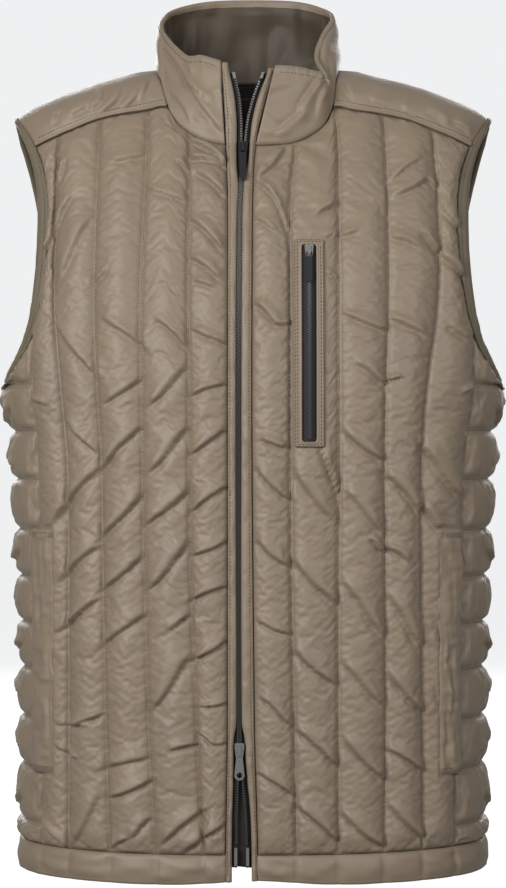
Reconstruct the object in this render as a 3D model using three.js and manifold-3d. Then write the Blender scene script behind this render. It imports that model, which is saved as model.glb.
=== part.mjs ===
// Quilted vest with a stand collar, filled out as when it is worn. Millimetres, +Z up, front towards -Y.
// The origin lies between the two points where the neck meets the shoulders, which is where it is held.
import * as THREE from 'three';
import Module from 'manifold-3d';
import { mergeVertices } from 'three/addons/utils/BufferGeometryUtils.js';

// Driving dimensions
const HEM_Z = -696;
const HEM_SEAM_Z = -671;
const HEM_LIFT = 4;
const HEM_LIFT_REACH = 45;
const OVAL_POWER = 2.4;
const SEAM_GAP = 0.4;
const YOKE_GAP = 0.8;
const BACK_YOKE_GAP = 0.35;
const SEAM_LEVEL = -3;
const PUFF_LEVEL = 3;
const INNER_LEVEL = -5;
const EDGE_TAPER = 14;
const LINING_LEVELS = [-8.2, -7];
const LINING_HALF_WIDTH = 160;
const NECK_SHIFT = -4.5;

// Half widths and depths of the body's oval sections, front and back of the side line
const BODY = [
  { z: 8, side: 77, front: 48, back: 76 },
  { z: 0, side: 79, front: 50, back: 79 },
  { z: -4, side: 94, front: 51, back: 84 },
  { z: -11, side: 121, front: 53, back: 88 },
  { z: -18, side: 145, front: 55, back: 91 },
  { z: -25, side: 166, front: 58, back: 94 },
  { z: -32, side: 184, front: 61, back: 96.5 },
  { z: -39, side: 200, front: 65, back: 99 },
  { z: -46, side: 210, front: 70, back: 101 },
  { z: -56, side: 213.5, front: 76.5, back: 104 },
  { z: -76, side: 215, front: 88, back: 108 },
  { z: -110, side: 215.5, front: 103, back: 114 },
  { z: -150, side: 216, front: 117, back: 118 },
  { z: -190, side: 216, front: 127, back: 119 },
  { z: -235, side: 217, front: 135, back: 118 },
  { z: -280, side: 219, front: 138.5, back: 116 },
  { z: -322, side: 212, front: 139.5, back: 113 },
  { z: -380, side: 209, front: 140, back: 111 },
  { z: -450, side: 206, front: 140, back: 110 },
  { z: -533, side: 203.5, front: 140, back: 111 },
  { z: -646, side: 203.5, front: 139, back: 114.5 },
  { z: -696, side: 206, front: 138, back: 116 },
];

// Sideways places of the front seams, from the placket outwards, on each front
const SEAMS_RIGHT = [
  { z: -40, first: 54, second: 88, third: 130, fourth: 168, side: 189 },
  { z: -74, first: 54, second: 89, third: 131, fourth: 168, side: 189 },
  { z: -210, first: 54, second: 94, third: 134, fourth: 169, side: 191 },
  { z: -280, first: 53, second: 93, third: 131, fourth: 163, side: 190 },
  { z: -346, first: 53, second: 92, third: 127, fourth: 157, side: 185 },
  { z: -415, first: 52, second: 91, third: 126, fourth: 156, side: 183 },
  { z: -480, first: 50, second: 89, third: 125, fourth: 156, side: 184 },
  { z: -572, first: 46, second: 86, third: 123, fourth: 156, side: 179 },
  { z: -671, first: 41, second: 81, third: 120, fourth: 156, side: 182 },
];
const SEAMS_LEFT = [
  { z: -40, first: 37, second: 72, third: 113, fourth: 154, side: 189 },
  { z: -74, first: 36, second: 72, third: 113, fourth: 155, side: 189 },
  { z: -130, first: 31, second: 72, third: 114, fourth: 158, side: 190 },
  { z: -210, first: 31, second: 72, third: 114, fourth: 157, side: 191 },
  { z: -280, first: 31, second: 72, third: 111, fourth: 147, side: 189 },
  { z: -346, first: 31, second: 72, third: 110, fourth: 142, side: 180 },
  { z: -460, first: 32, second: 71, third: 111, fourth: 142, side: 177 },
  { z: -572, first: 34, second: 71, third: 111, fourth: 143, side: 172 },
  { z: -671, first: 36, second: 71, third: 110, fourth: 143, side: 172 },
];
const FRONT_LINES = ['placket', 'first', 'second', 'third', 'fourth', 'side'];
const SEAMS_BACK = [
  { z: 0, side: 186 },
  { z: -235, side: 185.5 },
  { z: -300, side: 181 },
  { z: -365, side: 176 },
  { z: -671, side: 175 },
];
const BACK_CHANNELS = 10;

// Upper edges of the fronts and of the back, as height over distance from the middle
const FRONT_TOP = [
  { x: 0, z: -76 },
  { x: 22, z: -75.5 },
  { x: 42, z: -71 },
  { x: 56, z: -62 },
  { x: 65, z: -52 },
  { x: 71, z: -41 },
  { x: 90, z: -43.5 },
  { x: 128, z: -50 },
  { x: 156, z: -60 },
  { x: 200, z: -78 },
];
const BACK_TOP = [
  { x: 0, z: 0 },
  { x: 50, z: -0.7 },
  { x: 70, z: -1.5 },
  { x: 90, z: -5.2 },
  { x: 132, z: -18 },
  { x: 172, z: -32.5 },
  { x: 197, z: -46 },
  { x: 210, z: -66 },
];

// Armhole, seen from the side: a round top and a blunter bottom
const ARMHOLE = { z: -200, top: 153, bottom: 74, front: 75, back: 68, bottomPower: 2.6 };
const BINDING_WIDTH = 8;
const BINDING_RISE = 4;
const ARMHOLE_GAP = 0.07;
const SIDE_JOIN_Z = -235;
const SEAM_BLEND = 60;
const UNDERARM_GAP = 1.3;
const TOP_CROWDING = 1.25;

// Level quilting lines of the side panels
const SIDE_LINES = [HEM_SEAM_Z, -654, -607, -565, -523, -484, -444, -404, -361, -320, -280];
// Heights of the rows that every panel has below the point where the side seams begin
const LOW_ROWS = [HEM_SEAM_Z + SEAM_GAP, ...SIDE_LINES.slice(1), -258, SIDE_JOIN_Z];

// Front zip: its middle, half of the gap between the plackets, and each placket's seam, all sideways
const ZIP = [
  { z: -6, middle: -4, gap: 17.5, right: -27, left: 19.5 },
  { z: -16, middle: -4, gap: 15.7, right: -26.5, left: 17.5 },
  { z: -36, middle: -5.6, gap: 10, right: -25.3, left: 12 },
  { z: -56, middle: -7.2, gap: 6.6, right: -24, left: 6.5 },
  { z: -76, middle: -8.3, gap: 5.4, right: -23, left: 2.5 },
  { z: -90, middle: -8.8, gap: 4.9, right: -22.3, left: 1 },
  { z: -110, middle: -10, gap: 2.3, right: -21.6, left: 0 },
  { z: -150, middle: -11.3, gap: 2.2, right: -21, left: -0.7 },
  { z: -330, middle: -12, gap: 2.2, right: -21, left: -1 },
  { z: -560, middle: -11.5, gap: 2.2, right: -21, left: 1 },
  { z: -575, middle: -11.3, gap: 4.5, right: -21, left: 1.2 },
  { z: -592, middle: -11, gap: 4.7, right: -21.2, left: 1.6 },
  { z: -640, middle: -9.6, gap: 7.6, right: -22, left: 3 },
  { z: -700, middle: -9.2, gap: 8.2, right: -22.6, left: 4 },
];
// Depth of the zip and the collar's front above the neckline
const STAND = [
  { z: -6, y: 77 },
  { z: -30, y: 81 },
  { z: -56, y: 85 },
  { z: -76, y: 88.3 },
];
const NECK_Z = -76;
const TAPE_TOP = -15;
const TAPE_END = -681;
const TAPE_SHOWN = 4.6;
const TAPE_HIDDEN = 5.5;
const TAPE_MARGIN = 1;
const TAPE_LEVELS = [-5.5, -4.3];
const TEETH_LEVEL = -1.6;
const TEETH_WIDTH = 1.7;
const TEETH_HALF_GAP = 0.15;
const PLACKET_LEVELS = [-3.8, -2.2, -0.6];
const STOP = { width: 2.4, levels: [-1.3, 0.5], inset: 0.2 };
const TOP_STOP_SPAN = [-21, -15.5];
const END_STOP_SPAN = [-679, -664];

// Collar: where each station stands on the neckline, and its upper edge, from right front round the back
const COLLAR_HALF = 1.7;
const COLLAR_BULGE = 2.5;
const COLLAR = [
  { on: 'front', at: -23.5, topX: -27.3, topY: -76, topZ: -6 },
  { on: 'front', at: -41, topX: -44, topY: -68, topZ: 0 },
  { on: 'front', at: -55, topX: -55, topY: -57, topZ: 1 },
  { on: 'front', at: -65, topX: -66, topY: -42, topZ: 12 },
  { on: 'right', at: -0.95, topX: -74, topY: -25, topZ: 23 },
  { on: 'right', at: -0.5, topX: -80, topY: -6, topZ: 35 },
  { on: 'right', at: 0, topX: -80, topY: 16, topZ: 46 },
  { on: 'right', at: 0.9, topX: -70, topY: 40, topZ: 58 },
  { on: 'back', at: -44, topX: -42, topY: 61, topZ: 68 },
  { on: 'back', at: 0, topX: 0, topY: 70, topZ: 71 },
  { on: 'back', at: 44, topX: 40, topY: 61, topZ: 68 },
  { on: 'left', at: 0.9, topX: 64, topY: 40, topZ: 58 },
  { on: 'left', at: 0, topX: 70, topY: 14, topZ: 47 },
  { on: 'left', at: -0.5, topX: 60, topY: -14, topZ: 27 },
  { on: 'left', at: -0.95, topX: 54, topY: -42, topZ: 6 },
  { on: 'front', at: 63, topX: 58, topY: -72, topZ: -14 },
  { on: 'front', at: 52, topX: 45, topY: -79, topZ: -13 },
  { on: 'front', at: 33, topX: 32, topY: -82, topZ: -11.5 },
  { on: 'front', at: 3, topX: 18.6, topY: -83, topZ: -11 },
];
const COLLAR_BASE = { frontLevel: -3.2, otherLevel: -1.9, rise: 1.4, inset: 1.2 };

// Chest pocket on the left front, and the hand pockets' welts
const POCKET = { x: 46.2, top: -162, bottom: -333.5, half: 12.3, slotHalf: 5.9, slotInset: 4.2 };
const POCKET_LEVELS = [2.9, 4.5];
const POCKET_ZIP_LEVELS = [2.9, 3.5, 4.6];
const POCKET_TEETH_HALF = 1.8;
const WELT = { top: -403, bottom: -609, width: 19, right: -167, left: 155 };
const WELT_LEVELS = [2.9, 4.7];
const PIPING_RADIUS = 1.4;
const PIPING_LEVEL = -0.9;

// Sliders and pulls, in their own measures: sideways, along the zip and out of it
const SLIDER = { half: 4, nose: 2.8, length: 12, plate: 1.8 };
const BAIL = { width: 2.6, top: 4.4, foot: -4.6, post: 1.2, under: 3.7, over: 4.6 };
const HINGE = { along: -2.4, out: 2.75 };
const EYE = { half: 2.8, holeHalf: 1.75, bar: 0.6, holeEnd: -3.6 };
const PULL_THICKNESS = 1.1;
const UPPER_SLIDER = { z: -81, tilt: -26 };
const LOWER_SLIDER = { z: -583.5, tilt: 0 };
const POCKET_SLIDER = { z: -172, tilt: -13 };
const FRONT_SLIDER_LEVEL = -0.8;
const POCKET_SLIDER_LEVEL = 5;

const wasm = await Module();
wasm.setup();

const SHELL = { color: 0x8a7d69, roughness: 0.55, metalness: 0 };
const BINDING = { color: 0x5d5546, roughness: 0.6, metalness: 0 };
const LINING = { color: 0x1d1a18, roughness: 0.6, metalness: 0 };
const BLACK_TAPE = { color: 0x17161a, roughness: 0.7, metalness: 0 };
const BLACK_METAL = { color: 0x26262a, roughness: 0.35, metalness: 0.8 };
const SILVER = { color: 0xc9c9c6, roughness: 0.3, metalness: 0.9 };

const vest = new THREE.Group();

// Value of a table's column at a place, on a smooth curve through its rows, which run downwards or outwards
function tableAt(rows, column, key, value) {
  const sense = Math.sign(rows[rows.length - 1][key] - rows[0][key]);
  let i = 0;
  while (i < rows.length - 2 && (rows[i + 1][key] - value) * sense < 0) i += 1;
  const slopeAt = (k) => {
    const low = Math.max(k - 1, 0);
    const high = Math.min(k + 1, rows.length - 1);
    return (rows[high][column] - rows[low][column]) / (rows[high][key] - rows[low][key]);
  };
  const span = rows[i + 1][key] - rows[i][key];
  const f = THREE.MathUtils.clamp((value - rows[i][key]) / span, 0, 1);
  const f2 = f * f;
  const f3 = f2 * f;
  return (2 * f3 - 3 * f2 + 1) * rows[i][column] + (f3 - 2 * f2 + f) * span * slopeAt(i)
    + (3 * f2 - 2 * f3) * rows[i + 1][column] + (f3 - f2) * span * slopeAt(i + 1);
}

const halfWidth = (z) => tableAt(BODY, 'side', 'z', z);
const depth = (z, y) => tableAt(BODY, y < 0 ? 'front' : 'back', 'z', z);
const ovalRest = (share) => Math.pow(Math.max(1 - Math.pow(Math.min(share, 1), OVAL_POWER), 0), 1 / OVAL_POWER);

// A point on the body's form and the direction out of it, from any two of x, y and z
function outward(x, y, z) {
  const step = 1;
  const share = (height) => Math.pow(Math.abs(x) / halfWidth(height), OVAL_POWER)
    + Math.pow(Math.abs(y) / depth(height, y), OVAL_POWER);
  const a = halfWidth(z);
  const b = depth(z, y);
  return new THREE.Vector3(
    OVAL_POWER * Math.sign(x) * Math.pow(Math.abs(x), OVAL_POWER - 1) / Math.pow(a, OVAL_POWER),
    OVAL_POWER * Math.sign(y) * Math.pow(Math.abs(y), OVAL_POWER - 1) / Math.pow(b, OVAL_POWER),
    (share(z + step) - share(z - step)) / (2 * step),
  ).normalize();
}

function neckShift(x, z) {
  const near = 1 - THREE.MathUtils.smoothstep(Math.abs(x), 85, 190);
  return NECK_SHIFT * near * Math.exp(-Math.pow(Math.min(z, 0) / 50, 2));
}

function lifted(x, y, z, level) {
  const point = new THREE.Vector3(x, y, z).addScaledVector(outward(x, y, z), level);
  point.x += neckShift(x, z);
  return point;
}

// On the front (side -1) or the back (side 1) at a sideways place and height
function skin(x, z, side, level) {
  const y = side * depth(z, side) * ovalRest(Math.abs(x) / halfWidth(z));
  return lifted(x, y, z, level);
}

// On the right (hand -1) or the left (hand 1) at a depth and height
function flank(y, z, hand, level) {
  const x = hand * halfWidth(z) * ovalRest(Math.abs(y) / depth(z, y));
  return lifted(x, y, z, level);
}

function toMesh(name, points, triangles, finish, parent = vest) {
  let volume = 0;
  for (let i = 0; i < triangles.length; i += 3) {
    const [a, b, c] = [points[triangles[i]], points[triangles[i + 1]], points[triangles[i + 2]]];
    volume += a.dot(b.clone().cross(c));
  }
  const order = volume < 0 ? triangles.slice().reverse() : triangles;
  const geometry = new THREE.BufferGeometry().setFromPoints(points);
  geometry.setIndex(order);
  return addMesh(name, geometry, finish, parent);
}

function addMesh(name, geometry, finish, parent = vest) {
  const mesh = new THREE.Mesh(geometry, new THREE.MeshStandardMaterial(finish));
  mesh.name = name;
  parent.add(mesh);
  return mesh;
}

// A wall between two layers of a grid: place(across, along, layer), layer 0 inside and 1 outside
function addWall(name, acrossCount, alongCount, place, finish) {
  const points = [];
  const triangles = [];
  const index = (i, j, layer) => (i * (alongCount + 1) + j) * 2 + layer;
  for (let i = 0; i <= acrossCount; i += 1) {
    for (let j = 0; j <= alongCount; j += 1) {
      points.push(place(i, j, 0), place(i, j, 1));
    }
  }
  const quad = (a, b, c, d) => triangles.push(a, b, c, a, c, d);
  for (let i = 0; i < acrossCount; i += 1) {
    for (let j = 0; j < alongCount; j += 1) {
      quad(index(i, j, 1), index(i + 1, j, 1), index(i + 1, j + 1, 1), index(i, j + 1, 1));
      quad(index(i, j, 0), index(i, j + 1, 0), index(i + 1, j + 1, 0), index(i + 1, j, 0));
    }
    quad(index(i, 0, 0), index(i + 1, 0, 0), index(i + 1, 0, 1), index(i, 0, 1));
    quad(index(i, alongCount, 1), index(i + 1, alongCount, 1), index(i + 1, alongCount, 0),
      index(i, alongCount, 0));
  }
  for (let j = 0; j < alongCount; j += 1) {
    quad(index(0, j, 1), index(0, j + 1, 1), index(0, j + 1, 0), index(0, j, 0));
    quad(index(acrossCount, j, 0), index(acrossCount, j + 1, 0), index(acrossCount, j + 1, 1),
      index(acrossCount, j, 1));
  }
  return toMesh(name, points, triangles, finish);
}

// A bar whose section of sideCount corners is carried along: place(step, corner). A ring closes on itself
function addBar(name, stepCount, sideCount, place, finish, ring = false) {
  const points = [];
  const triangles = [];
  const last = ring ? stepCount : stepCount + 1;
  for (let i = 0; i < last; i += 1) {
    for (let k = 0; k < sideCount; k += 1) points.push(place(i, k));
  }
  for (let i = 0; i < stepCount; i += 1) {
    for (let k = 0; k < sideCount; k += 1) {
      const a = i * sideCount + k;
      const b = i * sideCount + (k + 1) % sideCount;
      const c = ((i + 1) % last) * sideCount + (k + 1) % sideCount;
      const d = ((i + 1) % last) * sideCount + k;
      triangles.push(a, b, c, a, c, d);
    }
  }
  if (!ring) {
    for (let k = 1; k < sideCount - 1; k += 1) {
      triangles.push(0, k + 1, k);
      const end = stepCount * sideCount;
      triangles.push(end, end + k, end + k + 1);
    }
  }
  return toMesh(name, points, triangles, finish);
}

// Height of the padding over a channel: low at its two seams and full between them
function puff(share, toEdge) {
  const across = Math.pow(Math.max(Math.sin(Math.PI * share), 0), 0.7);
  const along = Math.pow(THREE.MathUtils.clamp(toEdge / EDGE_TAPER, 0, 1), 0.6);
  return SEAM_LEVEL + (PUFF_LEVEL - SEAM_LEVEL) * across * along;
}

// Outline of the armhole in depth and height; grow 0 is its free edge and 1 where the panels begin
function armhole(angle, grow) {
  const c = Math.cos(angle);
  const s = Math.sin(angle);
  const reach = (s < 0 ? ARMHOLE.front : ARMHOLE.back) + BINDING_WIDTH * grow;
  if (c >= 0) return { y: reach * s, z: ARMHOLE.z + (ARMHOLE.top + BINDING_RISE * grow) * c };
  const power = 2 / ARMHOLE.bottomPower;
  return {
    y: reach * Math.sign(s) * Math.pow(Math.abs(s), power),
    z: ARMHOLE.z - (ARMHOLE.bottom + BINDING_WIDTH * grow) * Math.pow(-c, power),
  };
}

// Depth of the panels' armhole edge at a height, before (side -1) or behind (side 1) the arm
function armholeDepth(z, side, grow) {
  const reach = (side < 0 ? ARMHOLE.front : ARMHOLE.back) + BINDING_WIDTH * grow;
  if (z > ARMHOLE.z) {
    const share = (z - ARMHOLE.z) / (ARMHOLE.top + BINDING_RISE * grow);
    return side * reach * Math.sqrt(Math.max(1 - share * share, 0));
  }
  const share = (ARMHOLE.z - z) / (ARMHOLE.bottom + BINDING_WIDTH * grow);
  return side * reach * Math.pow(Math.max(1 - Math.pow(share, ARMHOLE.bottomPower), 0), 1 / ARMHOLE.bottomPower);
}

// Sideways place of a panel's armhole edge
function armholeLine(z, side) {
  const y = armholeDepth(z, side, 1 + ARMHOLE_GAP);
  return halfWidth(z) * ovalRest(Math.abs(y) / depth(z, side));
}

// Sideways place of a side seam, which runs into the armhole edge at its upper end
function sideSeam(z, side, seams) {
  const miss = armholeLine(SIDE_JOIN_Z, side) - tableAt(seams, 'side', 'z', SIDE_JOIN_Z);
  return tableAt(seams, 'side', 'z', z) + miss * Math.exp((z - SIDE_JOIN_Z) / SEAM_BLEND);
}

// Sideways place of a panel's outer line: the armhole above the side panel and the side seam below it
function outerLine(z, side, seams) {
  const top = side < 0 ? -75 : -60;
  return (z > SIDE_JOIN_Z ? armholeLine(Math.min(z, top), side) : sideSeam(z, side, seams)) - SEAM_GAP / 2;
}

// A point of a side seam's edge, straight between the panels' rows so that both edges agree
function seamPoint(z, side, hand, seams, level) {
  let k = 0;
  while (k < LOW_ROWS.length - 2 && LOW_ROWS[k + 1] < z) k += 1;
  const at = (height) => skin(hand * (sideSeam(height, side, seams) + SEAM_GAP / 2), height, side, level);
  const share = (z - LOW_ROWS[k]) / (LOW_ROWS[k + 1] - LOW_ROWS[k]);
  return at(LOW_ROWS[k]).lerp(at(LOW_ROWS[k + 1]), share);
}

// Height of a panel's row: the shared rows below and even ones beside the armhole
function panelHeight(j, highRows, top) {
  if (j < LOW_ROWS.length) return LOW_ROWS[j];
  const rest = 1 - (j - LOW_ROWS.length + 1) / highRows;
  return top + (SIDE_JOIN_Z - top) * Math.pow(rest, TOP_CROWDING);
}

function addFront(name, hand, seams) {
  const parts = 3;
  const highRows = 11;
  const lineAt = (k, z) => {
    if (k === 0) return hand * tableAt(ZIP, hand < 0 ? 'right' : 'left', 'z', z) + SEAM_GAP / 2;
    if (k === FRONT_LINES.length - 1) return outerLine(z, -1, seams);
    return tableAt(seams, FRONT_LINES[k], 'z', z);
  };
  const place = (i, j, layer) => {
    const k = Math.min(Math.floor(i / parts), FRONT_LINES.length - 2);
    const share = i / parts - k;
    let top = -70;
    for (let pass = 0; pass < 4; pass += 1) {
      const x = THREE.MathUtils.lerp(lineAt(k, top), lineAt(k + 1, top), share);
      top = tableAt(FRONT_TOP, 'z', 'x', x) - YOKE_GAP;
    }
    const z = panelHeight(j, highRows, top);
    const x = hand * THREE.MathUtils.lerp(lineAt(k, z), lineAt(k + 1, z), share);
    const level = layer ? puff(share, Math.min(top - z, z - HEM_SEAM_Z)) : INNER_LEVEL;
    return skin(x, z, -1, level);
  };
  return addWall(name, parts * (FRONT_LINES.length - 1), LOW_ROWS.length - 1 + highRows, place, SHELL);
}

function addBack() {
  const parts = 2;
  const highRows = 11;
  const count = parts * BACK_CHANNELS;
  const place = (i, j, layer) => {
    const share = 2 * i / count - 1;
    let top = -60;
    for (let pass = 0; pass < 4; pass += 1) {
      top = tableAt(BACK_TOP, 'z', 'x', Math.abs(share) * outerLine(top, 1, SEAMS_BACK)) - BACK_YOKE_GAP;
    }
    const z = panelHeight(j, highRows, top);
    const x = share * outerLine(z, 1, SEAMS_BACK);
    const level = layer ? puff((i % parts) / parts, Math.min(top - z, z - HEM_SEAM_Z)) : INNER_LEVEL;
    return skin(x, z, 1, level);
  };
  return addWall('back', count, LOW_ROWS.length - 1 + highRows, place, SHELL);
}

function addLiningBack() {
  const columns = 10;
  const rows = 10;
  const place = (i, j, layer) => {
    const share = 2 * i / columns - 1;
    const out = Math.abs(share) * LINING_HALF_WIDTH;
    const top = tableAt(BACK_TOP, 'z', 'x', out) - 12 - 0.12 * out;
    const z = THREE.MathUtils.lerp(top, HEM_SEAM_Z + 2, Math.pow(j / rows, 1.7));
    return skin(share * LINING_HALF_WIDTH, z, 1, LINING_LEVELS[layer]);
  };
  return addWall('lining_back', columns, rows, place, LINING);
}

// Height of the armhole's lower edge, where the side panel begins, at a depth
function armholeLow(y) {
  const grow = 1 + ARMHOLE_GAP;
  const reach = (y < 0 ? ARMHOLE.front : ARMHOLE.back) + BINDING_WIDTH * grow;
  const share = Math.min(Math.abs(y) / reach, 1);
  const rest = Math.pow(1 - Math.pow(share, ARMHOLE.bottomPower), 1 / ARMHOLE.bottomPower);
  return ARMHOLE.z - (ARMHOLE.bottom + BINDING_WIDTH * grow) * rest;
}

// Angle at which the armhole's edge passes the top of a side seam
function joinAngle(side) {
  const fall = (ARMHOLE.z - SIDE_JOIN_Z) / (ARMHOLE.bottom + BINDING_WIDTH);
  return -Math.PI - side * Math.acos(Math.pow(fall, ARMHOLE.bottomPower / 2));
}

// Side panel: level channels from the hem seam up, and a last one that meets the curved armhole edge
function addSide(name, hand, seams) {
  const columns = 9;
  const parts = 3;
  const topRows = 3;
  const rows = [];
  for (let k = 0; k < SIDE_LINES.length - 1; k += 1) {
    for (let p = 0; p < parts; p += 1) {
      rows.push({ z: THREE.MathUtils.lerp(SIDE_LINES[k], SIDE_LINES[k + 1], p / parts), share: p / parts, rise: 0 });
    }
  }
  for (let p = 0; p <= topRows; p += 1) {
    rows.push({ z: SIDE_LINES[SIDE_LINES.length - 1], share: p / topRows, rise: p / topRows });
  }
  rows[0].z += SEAM_GAP;
  const join = { front: joinAngle(-1), back: joinAngle(1) };
  const place = (i, j, layer) => {
    const row = rows[j];
    const seamZ = THREE.MathUtils.lerp(row.z, SIDE_JOIN_Z, row.rise);
    const edgeLevel = layer ? SEAM_LEVEL : INNER_LEVEL;
    if (i === 0) return seamPoint(seamZ, -1, hand, seams, edgeLevel);
    if (i === columns) return seamPoint(seamZ, 1, hand, SEAMS_BACK, edgeLevel);
    const edges = [
      seamPoint(seamZ, -1, hand, seams, 0).y,
      seamPoint(seamZ, 1, hand, SEAMS_BACK, 0).y,
    ];
    const lowest = [armhole(join.front, 1).y, armhole(join.back, 1).y];
    const turn = armhole(THREE.MathUtils.lerp(join.front, join.back, i / columns), 1).y;
    const y = THREE.MathUtils.mapLinear(turn, lowest[0], lowest[1], edges[0], edges[1]);
    const z = THREE.MathUtils.lerp(row.z, armholeLow(y) - UNDERARM_GAP, row.rise);
    return flank(y, z, hand, layer ? puff(row.share, EDGE_TAPER) : INNER_LEVEL);
  };
  return addWall(name, columns, rows.length - 1, place, SHELL);
}

// Height at which the ridge of the shoulder lies this far out
function ridgeHeight(x) {
  let high = 0;
  let low = -50;
  for (let pass = 0; pass < 30; pass += 1) {
    const middle = (high + low) / 2;
    if (halfWidth(middle) < x) high = middle;
    else low = middle;
  }
  return (high + low) / 2;
}

// Yoke: along 0 at the neck to 1 at the armhole, round -1 at the front seam to 1 at the back seam
const YOKE = { neckRidge: 79.8, tipRidge: 205.6, neckFront: 71.2, tipFront: 188.6, neckBack: 70, tipBack: 206.2 };
function yokePoint(along, round, hand, level) {
  const side = round < 0 ? -1 : 1;
  const top = side < 0 ? FRONT_TOP : BACK_TOP;
  const ends = side < 0 ? [YOKE.neckFront, YOKE.tipFront] : [YOKE.neckBack, YOKE.tipBack];
  const angle = Math.abs(round) * Math.PI / 2;
  const arch = (share) => {
    const seamX = THREE.MathUtils.lerp(ends[0], ends[1], share);
    const seamZ = tableAt(top, 'z', 'x', seamX);
    const ridgeX = THREE.MathUtils.lerp(YOKE.neckRidge, YOKE.tipRidge, share);
    const fall = 1 - Math.cos(angle);
    return new THREE.Vector3(
      THREE.MathUtils.lerp(ridgeX, seamX, fall),
      side * depth(seamZ, side) * ovalRest(seamX / halfWidth(seamZ)) * Math.sin(angle),
      THREE.MathUtils.lerp(ridgeHeight(ridgeX), seamZ, fall),
    );
  };
  const grow = 1 + ARMHOLE_GAP;
  const tipZ = tableAt(top, 'z', 'x', ends[1]);
  const tipAngle = Math.acos((tipZ - ARMHOLE.z) / (ARMHOLE.top + BINDING_RISE * grow));
  const edge = armhole(side * tipAngle * Math.abs(round), grow);
  const edgeX = halfWidth(edge.z) * ovalRest(Math.abs(edge.y) / depth(edge.z, side)) - SEAM_GAP / 2;
  const miss = new THREE.Vector3(edgeX, edge.y, edge.z).sub(arch(1));
  const point = arch(along).addScaledVector(miss, Math.pow(along, 4));
  return lifted(hand * point.x, point.y, point.z, level);
}

function addYoke(name, hand) {
  const columns = 11;
  const rows = 12;
  const place = (i, j, layer) => {
    const inside = Math.min(i, columns - i, j, rows - j);
    const level = layer ? SEAM_LEVEL + Math.min(inside, 2) * 1.2 : INNER_LEVEL;
    return yokePoint(i / columns, 2 * j / rows - 1, hand, level);
  };
  return addWall(name, columns, rows, place, SHELL);
}

function addPiping(name, hand) {
  const steps = 18;
  const sides = 5;
  const ends = [YOKE.neckFront + 1, YOKE.tipFront - 1];
  const centre = (i) => {
    const x = THREE.MathUtils.lerp(ends[0], ends[1], i / steps);
    return skin(hand * x, tableAt(FRONT_TOP, 'z', 'x', x) - SEAM_GAP / 2, -1, PIPING_LEVEL);
  };
  const place = (i, k) => {
    const middle = centre(i);
    const along = centre(i + 0.5).sub(centre(i - 0.5)).normalize();
    const out = outward(middle.x, middle.y, middle.z);
    const across = new THREE.Vector3().crossVectors(along, out).normalize();
    const angle = 2 * Math.PI * k / sides;
    return middle.addScaledVector(out, PIPING_RADIUS * Math.cos(angle))
      .addScaledVector(across, PIPING_RADIUS * Math.sin(angle));
  };
  return addBar(name, steps, sides, place, SHELL);
}

function addBinding(name, hand) {
  const steps = 52;
  const section = [
    { grow: 0, level: -4.9 },
    { grow: 0, level: -2.6 },
    { grow: 0.4, level: -1.2 },
    { grow: 1, level: -2.2 },
    { grow: 1, level: -4.9 },
  ];
  const place = (i, k) => {
    const { y, z } = armhole(2 * Math.PI * i / steps, section[k].grow);
    return flank(y, z, hand, section[k].level);
  };
  return addBar(name, steps, section.length, place, BINDING, true);
}

// A place beside the front zip, above and below the neckline
function frontLine(x, z, level) {
  const at = (height) => (height > NECK_Z ? tableAt(STAND, 'y', 'z', height) : depth(height, -1));
  const rise = at(z + 1) - at(z - 1);
  const out = new THREE.Vector3(0, -1, -rise / 2).normalize();
  return new THREE.Vector3(x, -at(z), z).addScaledVector(out, level);
}

const hemZ = (x) => HEM_Z + HEM_LIFT * Math.exp(-Math.pow((x - 3) / HEM_LIFT_REACH, 2));

// Heights down the front zip: close together at the neck and the lower slider, wider apart between
function zipHeights(top, bottom) {
  const stops = [-6, -16, -26, -36, -46, -56, -66, -74, -78, -84, -90, -97, -104, -110, -130, -160, -195, -235,
    -280, -360, -440, -520, -560, -565, -570, -575, -592, -606, -640, -675];
  return [top, ...stops.filter((z) => z < top - 2 && z > bottom + 2), bottom];
}

function addPlacket(name, hand) {
  const side = hand < 0 ? 'right' : 'left';
  const top = hand < 0 ? -6.5 : -11.5;
  const heights = zipHeights(top, HEM_Z);
  const columns = 2;
  const place = (i, j, layer) => {
    const z0 = heights[j];
    const seamX = tableAt(ZIP, side, 'z', z0) - hand * SEAM_GAP / 2;
    const edgeX = tableAt(ZIP, 'middle', 'z', z0) + hand * tableAt(ZIP, 'gap', 'z', z0);
    const x = THREE.MathUtils.lerp(seamX, edgeX, i / columns);
    const z = j === heights.length - 1 ? hemZ(x) : z0;
    const atEdge = i === 0 || i === columns;
    return frontLine(x, z, layer ? PLACKET_LEVELS[atEdge ? 1 : 2] : PLACKET_LEVELS[0]);
  };
  return addWall(name, columns, heights.length - 1, place, SHELL);
}

// Sideways place of a zip half's toothed edge
function teethLine(z, hand) {
  const middle = tableAt(ZIP, 'middle', 'z', z);
  const gap = tableAt(ZIP, 'gap', 'z', z);
  return middle + hand * Math.max(gap - TAPE_SHOWN, TEETH_HALF_GAP);
}

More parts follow.
